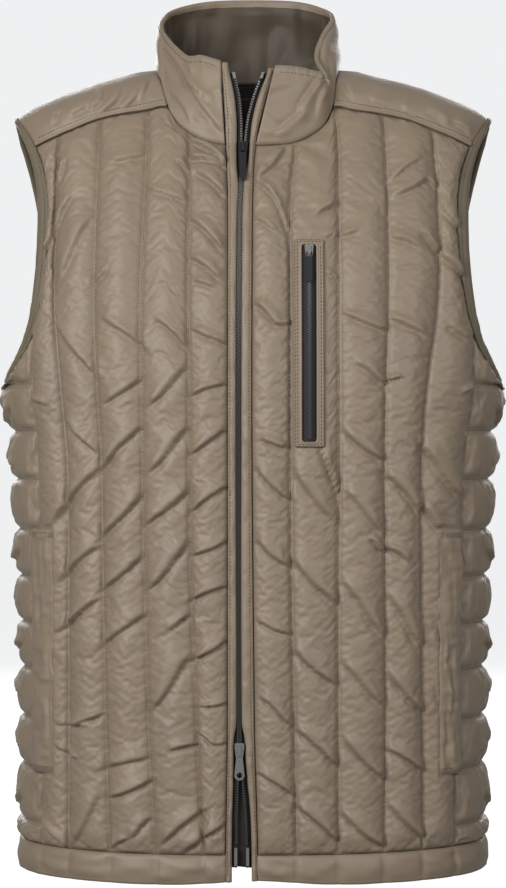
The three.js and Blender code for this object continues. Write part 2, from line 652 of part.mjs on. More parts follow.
function addTape(name, hand) {
  const heights = zipHeights(TAPE_TOP, TAPE_END);
  const place = (j, k) => {
    const z = heights[j];
    const inner = teethLine(z, hand);
    const edge = tableAt(ZIP, 'middle', 'z', z) + hand * tableAt(ZIP, 'gap', 'z', z);
    const seam = tableAt(ZIP, hand < 0 ? 'right' : 'left', 'z', z);
    const hidden = Math.min(TAPE_HIDDEN, Math.abs(seam - edge) - TAPE_MARGIN);
    const section = [
      [inner, TAPE_LEVELS[0]],
      [inner, TEETH_LEVEL],
      [inner + hand * TEETH_WIDTH, TEETH_LEVEL],
      [inner + hand * TEETH_WIDTH, TAPE_LEVELS[1]],
      [edge + hand * hidden, TAPE_LEVELS[1]],
      [edge + hand * hidden, TAPE_LEVELS[0]],
    ];
    return frontLine(section[k][0], z, section[k][1]);
  };
  return addBar(name, heights.length - 1, 6, place, BLACK_TAPE);
}

// A metal stop that lies on the teeth between two heights
function addStop(name, hand, span) {
  const place = (j, k) => {
    const z = span[j];
    const inner = teethLine(z, hand) + hand * STOP.inset;
    const x = inner + (k === 1 || k === 2 ? hand * STOP.width : 0);
    return frontLine(x, z, STOP.levels[k < 2 ? 0 : 1]);
  };
  return addBar(name, 1, 4, place, SILVER);
}

// Collar: the stations' feet on the neckline
function collarFoot(row) {
  const rise = new THREE.Vector3(0, 0, COLLAR_BASE.rise);
  if (row.on === 'front') {
    return skin(row.at, tableAt(FRONT_TOP, 'z', 'x', Math.abs(row.at)), -1, COLLAR_BASE.frontLevel).add(rise);
  }
  if (row.on === 'back') {
    return skin(row.at, tableAt(BACK_TOP, 'z', 'x', Math.abs(row.at)), 1, COLLAR_BASE.otherLevel).add(rise);
  }
  const hand = row.on === 'right' ? -1 : 1;
  const foot = yokePoint(0, row.at, hand, COLLAR_BASE.otherLevel).add(rise);
  foot.x -= hand * COLLAR_BASE.inset;
  return foot;
}

function addCollar() {
  const feet = new THREE.CatmullRomCurve3(COLLAR.map(collarFoot));
  const tops = new THREE.CatmullRomCurve3(COLLAR.map((row) => new THREE.Vector3(row.topX, row.topY, row.topZ)));
  const perStation = 2;
  const columns = (COLLAR.length - 1) * perStation;
  const rows = 5;
  const middle = (u, v) => {
    const t = THREE.MathUtils.clamp(u, 0, 1);
    return feet.getPoint(t).lerp(tops.getPoint(t), v);
  };
  const place = (i, j, layer) => {
    const u = i / columns;
    const v = j / rows;
    const step = 0.5 / columns;
    const along = middle(u + step, v).sub(middle(u - step, v));
    const up = middle(u, 1).sub(middle(u, 0));
    const out = new THREE.Vector3().crossVectors(up, along).normalize();
    const bulge = COLLAR_BULGE * Math.sin(Math.PI * v);
    const half = COLLAR_HALF * (j === rows ? 0.6 : 1);
    return middle(u, v).addScaledVector(out, bulge + (layer ? half : -half));
  };
  return addWall('collar', columns, rows, place, SHELL);
}

// Angle round the body's section, from the front middle by the right hand to the back, of a place
function turnOf(x, side) {
  const quarter = Math.asin(Math.pow(Math.min(Math.abs(x) / halfWidth(HEM_Z), 1), OVAL_POWER / 2));
  if (side < 0) return x < 0 ? quarter : 2 * Math.PI - quarter;
  return x < 0 ? Math.PI - quarter : Math.PI + quarter;
}

function roundBody(turn, z, level) {
  const spread = (value) => Math.sign(value) * Math.pow(Math.abs(value), 2 / OVAL_POWER);
  const x = -halfWidth(z) * spread(Math.sin(turn));
  const y = -spread(Math.cos(turn));
  return lifted(x, y * depth(z, y), z, level);
}

function addHemBand() {
  const parts = 2;
  const sideSteps = 8;
  const stations = [];
  const between = (turns, count, dented) => {
    for (let k = 0; k < turns.length - 1; k += 1) {
      for (let p = 0; p < count; p += 1) {
        stations.push({ turn: THREE.MathUtils.lerp(turns[k], turns[k + 1], p / count), share: dented ? p / count : 0.5 });
      }
    }
  };
  const frontTurns = (hand, seams) => FRONT_LINES.map((line, k) => {
    const x = k === 0
      ? hand * tableAt(ZIP, hand < 0 ? 'right' : 'left', 'z', HEM_Z) + SEAM_GAP / 2
      : tableAt(seams, line, 'z', HEM_Z);
    return turnOf(hand * x, -1);
  });
  const backTurns = [];
  for (let k = 0; k <= BACK_CHANNELS; k += 1) {
    backTurns.push(turnOf(tableAt(SEAMS_BACK, 'side', 'z', HEM_Z) * (2 * k / BACK_CHANNELS - 1), 1));
  }
  const right = frontTurns(-1, SEAMS_RIGHT);
  const left = frontTurns(1, SEAMS_LEFT).reverse();
  between(right, parts, true);
  between([right[right.length - 1], backTurns[0]], sideSteps, false);
  between(backTurns, parts, true);
  between([backTurns[BACK_CHANNELS], left[0]], sideSteps, false);
  between(left, parts, true);
  stations.push({ turn: left[left.length - 1], share: 0 });
  const rows = [
    { rise: 0, padded: 0, low: SEAM_LEVEL },
    { rise: 0.5, padded: 1, low: SEAM_LEVEL + 2 },
    { rise: 1, padded: 0.15, low: SEAM_LEVEL },
  ];
  const place = (i, j, layer) => {
    const { turn, share } = stations[i];
    const top = HEM_SEAM_Z;
    const x = roundBody(turn, HEM_Z, 0).x;
    const bottom = Math.cos(turn) > 0 ? hemZ(x) : HEM_Z;
    const z = THREE.MathUtils.lerp(top, bottom, rows[j].rise);
    const level = layer ? rows[j].low + rows[j].padded * 2.2 * Math.sin(Math.PI * share) : INNER_LEVEL;
    return roundBody(turn, z, level);
  };
  return addWall('hem_band', stations.length - 1, rows.length - 1, place, SHELL);
}

// Pieces on the fronts: the chest pocket's frame and zip, and the hand pockets' welts
function addPocketFrame() {
  const sideSteps = 9;
  const corners = [];
  for (let k = 0; k <= sideSteps; k += 1) corners.push({ hand: 1, share: k / sideSteps });
  for (let k = sideSteps; k >= 0; k -= 1) corners.push({ hand: -1, share: k / sideSteps });
  const place = (i, k) => {
    const { hand, share } = corners[i];
    const outer = k < 2;
    const inset = outer ? 0 : POCKET.slotInset;
    const x = POCKET.x + hand * (outer ? POCKET.half : POCKET.slotHalf);
    const z = THREE.MathUtils.lerp(POCKET.top - inset, POCKET.bottom + inset, share);
    return skin(x, z, -1, POCKET_LEVELS[k === 0 || k === 3 ? 0 : 1]);
  };
  return addBar('pocket_frame', corners.length, 4, place, SHELL, true);
}

function addPocketZip() {
  const steps = 9;
  const half = POCKET.slotHalf - SEAM_GAP;
  const inset = POCKET.slotInset + SEAM_GAP;
  const section = [
    [-half, POCKET_ZIP_LEVELS[0]],
    [-half, POCKET_ZIP_LEVELS[1]],
    [-POCKET_TEETH_HALF, POCKET_ZIP_LEVELS[2]],
    [POCKET_TEETH_HALF, POCKET_ZIP_LEVELS[2]],
    [half, POCKET_ZIP_LEVELS[1]],
    [half, POCKET_ZIP_LEVELS[0]],
  ];
  const place = (i, k) => {
    const z = THREE.MathUtils.lerp(POCKET.top - inset, POCKET.bottom + inset, i / steps);
    return skin(POCKET.x + section[k][0], z, -1, section[k][1]);
  };
  return addBar('pocket_zip', steps, section.length, place, BLACK_TAPE);
}

function addWelt(name, hand) {
  const columns = 3;
  const rows = 10;
  const inner = hand < 0 ? WELT.right : WELT.left;
  const place = (i, j, layer) => {
    const x = inner + hand * WELT.width * i / columns;
    const z = THREE.MathUtils.lerp(WELT.top, WELT.bottom, j / rows);
    return skin(x, z, -1, WELT_LEVELS[layer]);
  };
  return addWall(name, columns, rows, place, SHELL);
}

// A closed three.js shape as a solid that can be joined, and back
function toSolid(geometry) {
  const bare = geometry.index ? geometry.toNonIndexed() : geometry.clone();
  bare.deleteAttribute('normal');
  bare.deleteAttribute('uv');
  const merged = mergeVertices(bare, 1e-4);
  return new wasm.Manifold(new wasm.Mesh({
    numProp: 3,
    vertProperties: new Float32Array(merged.attributes.position.array),
    triVerts: new Uint32Array(merged.index.array),
  }));
}

function fromSolid(solid) {
  const mesh = solid.getMesh();
  const geometry = new THREE.BufferGeometry();
  geometry.setAttribute('position', new THREE.BufferAttribute(mesh.vertProperties, 3));
  geometry.setIndex(new THREE.BufferAttribute(mesh.triVerts, 1));
  return geometry;
}

// Slider: a tapered plate with a bridge on it, along which the pull's eye hangs
function sliderGeometry() {
  const outline = new THREE.Shape();
  outline.moveTo(-SLIDER.nose, -SLIDER.length / 2);
  outline.lineTo(SLIDER.nose, -SLIDER.length / 2);
  outline.quadraticCurveTo(SLIDER.half, 0, SLIDER.half, SLIDER.length / 2 - 1.5);
  outline.quadraticCurveTo(SLIDER.half, SLIDER.length / 2, SLIDER.half - 1.5, SLIDER.length / 2);
  outline.lineTo(1.5 - SLIDER.half, SLIDER.length / 2);
  outline.quadraticCurveTo(-SLIDER.half, SLIDER.length / 2, -SLIDER.half, SLIDER.length / 2 - 1.5);
  outline.quadraticCurveTo(-SLIDER.half, 0, -SLIDER.nose, -SLIDER.length / 2);
  const plate = new THREE.ExtrudeGeometry(outline, { depth: SLIDER.plate, bevelEnabled: false, curveSegments: 4 });
  plate.rotateX(Math.PI / 2);
  const sunk = SLIDER.plate / 2;
  const arch = new THREE.Shape();
  arch.moveTo(BAIL.foot, sunk);
  arch.lineTo(BAIL.foot, BAIL.over - 0.6);
  arch.lineTo(BAIL.foot + 0.6, BAIL.over);
  arch.lineTo(BAIL.top - 0.6, BAIL.over);
  arch.lineTo(BAIL.top, BAIL.over - 0.6);
  arch.lineTo(BAIL.top, sunk);
  arch.lineTo(BAIL.top - BAIL.post, sunk);
  arch.lineTo(BAIL.top - BAIL.post, BAIL.under);
  arch.lineTo(BAIL.foot + BAIL.post, BAIL.under);
  arch.lineTo(BAIL.foot + BAIL.post, sunk);
  const bridge = new THREE.ExtrudeGeometry(arch, { depth: BAIL.width, bevelEnabled: false });
  bridge.translate(0, 0, -BAIL.width / 2);
  bridge.applyMatrix4(new THREE.Matrix4().makeBasis(
    new THREE.Vector3(0, 0, 1), new THREE.Vector3(0, -1, 0), new THREE.Vector3(1, 0, 0),
  ));
  return fromSolid(toSolid(plate).add(toSolid(bridge)));
}

// Pull: an eye round the bridge and a tab below it, with a round hole near its end when holed
function pullGeometry({ length, half, hole }) {
  const tab = new THREE.Shape();
  tab.moveTo(-EYE.half, EYE.bar);
  tab.lineTo(-EYE.half, EYE.holeEnd - 1);
  tab.lineTo(-half, half - length);
  tab.absarc(0, half - length, half, Math.PI, 2 * Math.PI, false);
  tab.lineTo(EYE.half, EYE.holeEnd - 1);
  tab.lineTo(EYE.half, EYE.bar);
  const eye = new THREE.Path();
  eye.moveTo(-EYE.holeHalf, -EYE.bar);
  eye.lineTo(EYE.holeHalf, -EYE.bar);
  eye.lineTo(EYE.holeHalf, EYE.holeEnd);
  eye.lineTo(-EYE.holeHalf, EYE.holeEnd);
  tab.holes.push(eye);
  if (hole > 0) {
    const ring = new THREE.Path();
    ring.absarc(0, half - length, hole, 0, 2 * Math.PI, true);
    tab.holes.push(ring);
  }
  const plate = new THREE.ExtrudeGeometry(tab, { depth: PULL_THICKNESS, bevelEnabled: false, curveSegments: 8 });
  plate.translate(0, 0, -PULL_THICKNESS / 2);
  plate.rotateX(Math.PI / 2);
  plate.translate(0, -HINGE.out, HINGE.along);
  return fromSolid(toSolid(plate));
}

function addSlider(prefix, origin, tilt, size, pull, finishes) {
  const slider = addMesh(`${prefix}_slider`, sliderGeometry(), finishes.slider);
  const tab = addMesh(`${prefix}_pull`, pullGeometry(pull), finishes.pull);
  for (const mesh of [slider, tab]) {
    mesh.position.copy(origin);
    mesh.rotation.x = THREE.MathUtils.degToRad(tilt);
    mesh.scale.setScalar(size);
  }
}

addFront('front_right', -1, SEAMS_RIGHT);
addFront('front_left', 1, SEAMS_LEFT);
addBack();
addSide('side_right', -1, SEAMS_RIGHT);
addSide('side_left', 1, SEAMS_LEFT);
addYoke('yoke_right', -1);
addYoke('yoke_left', 1);
addPiping('piping_right', -1);
addPiping('piping_left', 1);
addCollar();
addHemBand();
addPlacket('placket_right', -1);
addPlacket('placket_left', 1);
addBinding('armhole_binding_right', -1);
addBinding('armhole_binding_left', 1);
addLiningBack();
addTape('zip_tape_right', -1);
addTape('zip_tape_left', 1);
addStop('top_stop_right', -1, TOP_STOP_SPAN);
addStop('top_stop_left', 1, TOP_STOP_SPAN);
addStop('zip_box', -1, END_STOP_SPAN);
addStop('zip_pin', 1, END_STOP_SPAN);
addPocketFrame();
addPocketZip();
addWelt('pocket_welt_right', -1);
addWelt('pocket_welt_left', 1);
addSlider('upper', frontLine(tableAt(ZIP, 'middle', 'z', UPPER_SLIDER.z), UPPER_SLIDER.z, FRONT_SLIDER_LEVEL),
  UPPER_SLIDER.tilt, 1, { length: 30, half: 2.9, hole: 0 }, { slider: BLACK_METAL, pull: BLACK_METAL });
addSlider('lower', frontLine(tableAt(ZIP, 'middle', 'z', LOWER_SLIDER.z), LOWER_SLIDER.z, FRONT_SLIDER_LEVEL),
  LOWER_SLIDER.tilt, 1, { length: 22, half: 4.2, hole: 2.4 }, { slider: SILVER, pull: SILVER });
addSlider('pocket', skin(POCKET.x, POCKET_SLIDER.z, -1, POCKET_SLIDER_LEVEL),
  POCKET_SLIDER.tilt, 0.9, { length: 28, half: 2.9, hole: 0 }, { slider: SILVER, pull: BLACK_METAL });

export default vest;
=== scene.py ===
# Quilted vest with a stand collar, filled out as when it is worn: its cloth, sewing, zips, light and camera.
import math

import bpy
import numpy as np
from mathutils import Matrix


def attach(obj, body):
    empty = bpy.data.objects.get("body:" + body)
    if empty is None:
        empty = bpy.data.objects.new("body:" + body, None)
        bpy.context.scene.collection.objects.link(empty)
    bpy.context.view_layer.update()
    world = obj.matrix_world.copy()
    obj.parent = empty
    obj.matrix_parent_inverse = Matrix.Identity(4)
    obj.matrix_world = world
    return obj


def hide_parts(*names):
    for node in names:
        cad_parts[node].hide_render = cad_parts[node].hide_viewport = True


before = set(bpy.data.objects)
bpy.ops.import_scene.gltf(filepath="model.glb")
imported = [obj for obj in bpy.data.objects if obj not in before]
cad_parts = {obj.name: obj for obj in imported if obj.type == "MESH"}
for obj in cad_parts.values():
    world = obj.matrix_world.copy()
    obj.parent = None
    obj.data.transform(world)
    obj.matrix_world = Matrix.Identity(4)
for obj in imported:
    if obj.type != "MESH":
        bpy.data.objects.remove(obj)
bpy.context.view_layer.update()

scene = bpy.context.scene

# Sizes are in millimetres, and MM turns them to metres where a mesh is made. The front is towards -Y and the
# wearer's left towards +X
MM = 0.001

# Camera, straight in front: the photograph's size and the focal length in pixels, the rest in millimetres
IMAGE = (506, 888)
CAMERA_DISTANCE = 2200
CAMERA_HEIGHT = -331
FOCAL_PIXELS = 2500
SENSOR = 36

# Body form
HEM_Z = -696
HEM_SEAM_Z = -671
HEM_LIFT = 4
HEM_LIFT_X = 3
HEM_LIFT_REACH = 45
OVAL_POWER = 2.4
SEAM_GAP = 0.4
YOKE_GAP = 0.8
SEAM_LEVEL = -3
PUFF_HEIGHT = 6
INNER_LEVEL = -5
NECK_Z = -76
# The neck leans to the wearer's right: how far, between which sideways places it fades, and how far down
NECK_SHIFT = -4.5
NECK_SHIFT_FADE = (85, 190)
NECK_SHIFT_DEPTH = 50


def table(columns, *rows):
    """A table with named columns: each name leads to the array of its values."""
    return dict(zip(columns.split(), np.array(rows, float).T))


# Half widths and depths of the body's oval sections, front and back of the side line
BODY = table(
    "z side front back",
    (8, 77, 48, 76), (0, 79, 50, 79), (-4, 94, 51, 84), (-11, 121, 53, 88), (-18, 145, 55, 91),
    (-25, 166, 58, 94), (-32, 184, 61, 96.5), (-39, 200, 65, 99), (-46, 210, 70, 101),
    (-56, 213.5, 76.5, 104),
    (-76, 215, 88, 108), (-110, 215.5, 103, 114), (-150, 216, 117, 118), (-190, 216, 127, 119),
    (-235, 217, 135, 118), (-280, 219, 138.5, 116), (-322, 212, 139.5, 113), (-380, 209, 140, 111),
    (-450, 206, 140, 110), (-533, 203.5, 140, 111), (-646, 203.5, 139, 114.5), (-696, 206, 138, 116),
)
# Sideways places of the front seams, from the placket outwards
SEAMS_RIGHT = table(
    "z first second third fourth side",
    (-40, 54, 88, 130, 168, 189), (-74, 54, 89, 131, 168, 189), (-210, 54, 94, 134, 169, 191),
    (-280, 53, 93, 131, 163, 190), (-346, 53, 92, 127, 157, 185), (-415, 52, 91, 126, 156, 183),
    (-480, 50, 89, 125, 156, 184), (-572, 46, 86, 123, 156, 179), (-671, 41, 81, 120, 156, 182),
)
SEAMS_LEFT = table(
    "z first second third fourth side",
    (-40, 37, 72, 113, 154, 189), (-74, 36, 72, 113, 155, 189), (-130, 31, 72, 114, 158, 190),
    (-210, 31, 72, 114, 157, 191), (-280, 31, 72, 111, 147, 189), (-346, 31, 72, 110, 142, 180),
    (-460, 32, 71, 111, 142, 177), (-572, 34, 71, 111, 143, 172), (-671, 36, 71, 110, 143, 172),
)
SEAMS_BACK = table("z side", (0, 186), (-235, 185.5), (-300, 181), (-365, 176), (-671, 175))
SEAMS = {-1: SEAMS_RIGHT, 1: SEAMS_LEFT}
INNER_LINES = ("first", "second", "third", "fourth")
FRONT_CHANNELS = 5
BACK_CHANNELS = 10
# Upper edges of the fronts and of the back
FRONT_TOP = table(
    "x z",
    (0, -76), (22, -75.5), (42, -71), (56, -62), (65, -52), (71, -41), (90, -43.5), (128, -50), (156, -60),
    (200, -78),
)
BACK_TOP = table(
    "x z", (0, 0), (50, -0.7), (70, -1.5), (90, -5.2), (132, -18), (172, -32.5), (197, -46), (210, -66),
)
# Armhole, seen from the side: a round top and a blunter bottom
ARMHOLE_Z = -200
ARMHOLE_TOP = 153
ARMHOLE_BOTTOM = 74
ARMHOLE_FRONT = 75
ARMHOLE_BACK = 68
ARMHOLE_POWER = 2.6
BINDING_WIDTH = 8
BINDING_RISE = 4
# The panels' edge under the binding, in binding widths, and the height to which it is read, front and back
PANEL_GROW = 1.07
PANEL_TOP = {-1: -75, 1: -60}
SIDE_JOIN_Z = -235
SEAM_BLEND = 60
UNDERARM_GAP = 1.3
SIDE_LINES = np.array([HEM_SEAM_Z, -654, -607, -565, -523, -484, -444, -404, -361, -320, -280], float)
# Front zip: its middle, half of the gap between the plackets, and each placket's seam
ZIP = table(
    "z middle gap right left",
    (-6, -4, 17.5, -27, 19.5), (-16, -4, 15.7, -26.5, 17.5), (-36, -5.6, 10, -25.3, 12),
    (-56, -7.2, 6.6, -24, 6.5), (-76, -8.3, 5.4, -23, 2.5), (-90, -8.8, 4.9, -22.3, 1),
    (-110, -10, 2.3, -21.6, 0), (-150, -11.3, 2.2, -21, -0.7), (-330, -12, 2.2, -21, -1),
    (-560, -11.5, 2.2, -21, 1), (-575, -11.3, 4.5, -21, 1.2), (-592, -11, 4.7, -21.2, 1.6),
    (-640, -9.6, 7.6, -22, 3), (-700, -9.2, 8.2, -22.6, 4),
)
# How far in front the collar's own front stands
STAND = table("z y", (-6, 77), (-30, 81), (-56, 85), (-76, 88.3))
SIDE_NAME = {-1: "right", 1: "left"}


def neighbours(count):
    """Numbers of the rows before and after each one; the first and the last stand in for what is missing."""
    return np.maximum(np.arange(count) - 1, 0), np.minimum(np.arange(count) + 1, count - 1)


def cubic(f, span, low, high, low_slope, high_slope):
    """Cubic between two values with a slope at each, where f runs from 0 to 1 over the span."""
    return ((2 * f**3 - 3 * f**2 + 1) * low + (f**3 - 2 * f**2 + f) * span * low_slope
            + (3 * f**2 - 2 * f**3) * high + (f**3 - f**2) * span * high_slope)


def curve(rows, column, key, value):
    """Value of a table's column at a place: a cubic through the rows, sloped by their neighbours."""
    keys = rows[key]
    values = rows[column]
    if keys[-1] < keys[0]:
        keys = keys[::-1]
        values = values[::-1]
    low, high = neighbours(len(keys))
    slopes = (values[high] - values[low]) / (keys[high] - keys[low])
    i = np.clip(np.searchsorted(keys, value) - 1, 0, len(keys) - 2)
    span = keys[i + 1] - keys[i]
    f = np.clip((value - keys[i]) / span, 0, 1)
    return cubic(f, span, values[i], values[i + 1], slopes[i], slopes[i + 1])


def ease(low, high, value):
    """0 below low, 1 above high and a smooth step between."""
    f = np.clip((value - low) / (high - low), 0, 1)
    return f * f * (3 - 2 * f)


def lerp(a, b, f):
    """Straight mix of two values."""
    return a + (b - a) * f


def half_width(z):
    """Half width of the body's oval at a height."""
    return curve(BODY, "side", "z", z)


def depth(z, side):
    """Depth of the body's oval at a height, to the front (side below 0) or the back."""
    return np.where(np.asarray(side) < 0, curve(BODY, "front", "z", z), curve(BODY, "back", "z", z))


def oval_rest(share):
    """The other half axis' share of a superellipse: (1 - share^n)^(1/n)."""
    return np.maximum(1 - np.minimum(share, 1) ** OVAL_POWER, 0) ** (1 / OVAL_POWER)


def unit(vectors):
    """Vectors brought to length 1."""
    return vectors / np.maximum(np.linalg.norm(vectors, axis=-1, keepdims=True), 1e-9)


def outward(x, y, z):
    """Direction out of the body: the slope of |x/a|^n + |y/b|^n, whose half axes change with height."""
    def share(height):
        """The sum at a height."""
        return (np.abs(x) / half_width(height)) ** OVAL_POWER + (np.abs(y) / depth(height, y)) ** OVAL_POWER

    a = half_width(z)
    b = depth(z, y)
    return unit(np.stack([
        OVAL_POWER * np.sign(x) * np.abs(x) ** (OVAL_POWER - 1) / a**OVAL_POWER,
        OVAL_POWER * np.sign(y) * np.abs(y) ** (OVAL_POWER - 1) / b**OVAL_POWER,
        (share(z + 1) - share(z - 1)) / 2,
    ], axis=-1))


def lifted(x, y, z, level):
    """Points moved out of the body by level, and near the neck a little to the wearer's right."""
    x, y, z, level = np.broadcast_arrays(x, y, z, level)
    near = 1 - ease(*NECK_SHIFT_FADE, np.abs(x))
    shift = NECK_SHIFT * near * np.exp(-(np.minimum(z, 0) / NECK_SHIFT_DEPTH) ** 2)
    points = np.stack([x, y, z], axis=-1) + outward(x, y, z) * level[..., None]
    points[..., 0] += shift
    return points


def skin(x, z, side, level):
    """On the front (side -1) or the back (side 1) at a sideways place and height."""
    return lifted(x, side * depth(z, side) * oval_rest(np.abs(x) / half_width(z)), z, level)


def flank(y, z, hand, level):
    """On the right (hand -1) or the left (hand 1) at a depth and height."""
    return lifted(hand * half_width(z) * oval_rest(np.abs(y) / depth(z, y)), y, z, level)


def armhole(angle, grow):
    """Outline of the armhole in depth and height; grow 0 is its free edge and 1 where the panels begin."""
    c = np.cos(angle)
    s = np.sin(angle)
    reach = np.where(s < 0, ARMHOLE_FRONT, ARMHOLE_BACK) + BINDING_WIDTH * grow
    power = 2 / ARMHOLE_POWER
    low_y = reach * np.sign(s) * np.abs(s) ** power
    low_z = ARMHOLE_Z - (ARMHOLE_BOTTOM + BINDING_WIDTH * grow) * np.maximum(-c, 0) ** power
    high_z = ARMHOLE_Z + (ARMHOLE_TOP + BINDING_RISE * grow) * c
    return np.where(c >= 0, reach * s, low_y), np.where(c >= 0, high_z, low_z)


def armhole_line(z, side):
    """Sideways place of a panel's armhole edge at a height, before (side -1) or behind (side 1) the arm."""
    reach = (ARMHOLE_FRONT if side < 0 else ARMHOLE_BACK) + BINDING_WIDTH * PANEL_GROW
    high = (z - ARMHOLE_Z) / (ARMHOLE_TOP + BINDING_RISE * PANEL_GROW)
    low = (ARMHOLE_Z - z) / (ARMHOLE_BOTTOM + BINDING_WIDTH * PANEL_GROW)
    above = np.sqrt(np.maximum(1 - high**2, 0))
    below = np.maximum(1 - np.maximum(low, 0) ** ARMHOLE_POWER, 0) ** (1 / ARMHOLE_POWER)
    y = reach * np.where(z > ARMHOLE_Z, above, below)
    return half_width(z) * oval_rest(y / depth(z, side))


def side_seam(z, side, seams):
    """Sideways place of a side seam, which runs into the armhole edge at its upper end."""
    miss = armhole_line(np.array(SIDE_JOIN_Z), side) - curve(seams, "side", "z", SIDE_JOIN_Z)
    return curve(seams, "side", "z", z) + miss * np.exp((z - SIDE_JOIN_Z) / SEAM_BLEND)


def outer_line(z, side, seams):
    """Sideways place of a panel's outer line: the armhole above the side panel and the side seam below it."""
    seam = side_seam(np.minimum(z, SIDE_JOIN_Z), side, seams)
    return np.where(z > SIDE_JOIN_Z, armhole_line(np.minimum(z, PANEL_TOP[side]), side), seam) - SEAM_GAP / 2


def front_line(x, z, level):
    """A place beside the front zip, on the body below the neckline and on the collar's front above it."""
    def at(height):
        """How far in front the cloth lies."""
        return np.where(height > NECK_Z, curve(STAND, "y", "z", height), depth(height, -1))

    x, z, level = np.broadcast_arrays(x, z, level)
    rise = at(z + 1) - at(z - 1)
    out = unit(np.stack([np.zeros_like(z), -np.ones_like(z), -rise / 2], axis=-1))
    return np.stack([x, -at(z), z], axis=-1) + out * level[..., None]


def zip_edge(z, hand):
    """Sideways place of a placket's edge beside the front zip."""
    return curve(ZIP, "middle", "z", z) + hand * curve(ZIP, "gap", "z", z)


def hem_z(x):
    """Height of the lower edge in front, lifted a little in the middle."""
    return HEM_Z + HEM_LIFT * np.exp(-((x - HEM_LIFT_X) / HEM_LIFT_REACH) ** 2)


# Meshes

def place_object(name, data):
    """An object for a mesh, light or camera, at the origin of the scene."""
    added = bpy.data.objects.new(name, data)
    scene.collection.objects.link(added)
    return added


def mesh_of(name, points, faces):
    """A mesh from points in millimetres and faces as lists of corner numbers."""
    mesh = bpy.data.meshes.new(name)
    mesh.from_pydata((np.asarray(points).reshape(-1, 3) * MM).tolist(), [], faces)
    return mesh


def grid_quads(rows, columns, first=0):
    """Corner numbers of a grid's quads, row after row."""
    index = first + np.arange(rows * columns).reshape(rows, columns)
    return np.stack([index[:-1, :-1], index[1:, :-1], index[1:, 1:], index[:-1, 1:]], axis=-1).reshape(-1, 4)


def border(rows, columns, first=0):
    """Numbers of a grid's border points, once round."""
    index = first + np.arange(rows * columns).reshape(rows, columns)
    return np.concatenate([index[:-1, 0], index[-1, :-1], index[:0:-1, -1], index[0, :0:-1]])


def add_piece(name, points, faces, materials, face_material=None, flat=False):
    """A mesh piece at the origin that rides on the vest, from points in millimetres and lists of faces."""
    mesh = mesh_of(name, points, [face for group in faces for face in np.asarray(group).tolist()])
    for material in materials:
        mesh.materials.append(material)
    if face_material is not None:
        mesh.polygons.foreach_set("material_index", face_material)
    mesh.polygons.foreach_set("use_smooth", np.full(len(mesh.polygons), not flat))
    mesh.update()
    piece = place_object(name, mesh)
    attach(piece, "vest")
    return piece


def shell(name, outer, inner, materials):
    """Closed cloth: a fine outer grid, an inner grid of half its steps, and a strip that joins their borders.

    All faces are turned over where the outer grid would face the inner one."""
    rows, columns = outer.shape[:2]
    low_rows, low_columns = inner.shape[:2]
    count = rows * columns
    top = grid_quads(rows, columns)
    under = grid_quads(low_rows, low_columns, count)[:, ::-1]
    rim = border(rows, columns)
    a = rim[0::2]
    b = rim[1::2]
    c = np.roll(a, -1)
    low = border(low_rows, low_columns, count)
    low_next = np.roll(low, -1)
    corners = ((b, a, low), (b, low, low_next), (b, low_next, c))
    strip = np.concatenate([np.stack(triangle, axis=-1) for triangle in corners])
    points = np.concatenate([outer.reshape(-1, 3), inner.reshape(-1, 3)])
    groups = [top, under, strip]
    cross = np.cross(outer[1:, :-1] - outer[:-1, :-1], outer[:-1, 1:] - outer[:-1, :-1])
    away = outer[::2, ::2][:-1, :-1] - inner[:-1, :-1]
    if np.sum(cross[::2, ::2] * away) < 0:
        groups = [group[:, ::-1] for group in groups]
    slots = np.concatenate([np.zeros(len(top)), np.ones(len(under)), np.zeros(len(strip))]).astype(int)
    return add_piece(name, points, groups, materials, face_material=slots)


def tube(name, rings, materials, closed=False, side_slots=None):
    """Closed bar: rings of points, one after another, with flat ends, or joined end to end when closed.

    side_slots gives each strip along the bar its material. All faces are turned over if they face in."""
    steps, sides = rings.shape[:2]
    index = np.arange(steps * sides).reshape(steps, sides)
    if closed:
        index = np.concatenate([index, index[:1]])
    turned = np.roll(index, -1, axis=1)
    walls = np.stack([index[:-1], turned[:-1], turned[1:], index[1:]], axis=-1).reshape(-1, 4)
    groups = [walls]
    if not closed:
        groups += [index[:1, ::-1], index[-1:]]
    centre = rings.mean(axis=1, keepdims=True)
    arm = rings - centre
    cross = np.cross(np.roll(rings, -1, axis=1)[:-1] - rings[:-1], rings[1:] - rings[:-1])
    if np.sum(cross * arm[:-1]) < 0:
        groups = [group[:, ::-1] for group in groups]
    slots = None
    if side_slots is not None:
        slots = np.concatenate([np.tile(side_slots, len(walls) // sides), [0] * (len(groups) - 1)])
        slots = slots.astype(int)
    return add_piece(name, rings, groups, materials, face_material=slots)


def finer(grid):
    """The same grid with a new point halfway between each two, on a cubic through four neighbours."""
    for axis in (0, 1):
        grid = np.moveaxis(grid, axis, 0)
        first = 2 * grid[:1] - grid[1:2]
        last = 2 * grid[-1:] - grid[-2:-1]
        wide = np.concatenate([first, grid, last])
        middle = (9 * (wide[1:-2] + wide[2:-1]) - wide[:-3] - wide[3:]) / 16
        out = np.empty((2 * len(grid) - 1,) + grid.shape[1:])
        out[0::2] = grid
        out[1::2] = middle
        grid = np.moveaxis(out, 0, axis)
    return grid


def normals_of(grid, toward):
    """Directions across a grid, on the side of the given directions."""
    cross = unit(np.cross(np.gradient(grid, axis=0), np.gradient(grid, axis=1)))
    return cross * np.sign(np.sum(cross * toward, axis=-1, keepdims=True))


# Quilting: how the panels settle as cloth, how much larger they are cut, and how far a point may move

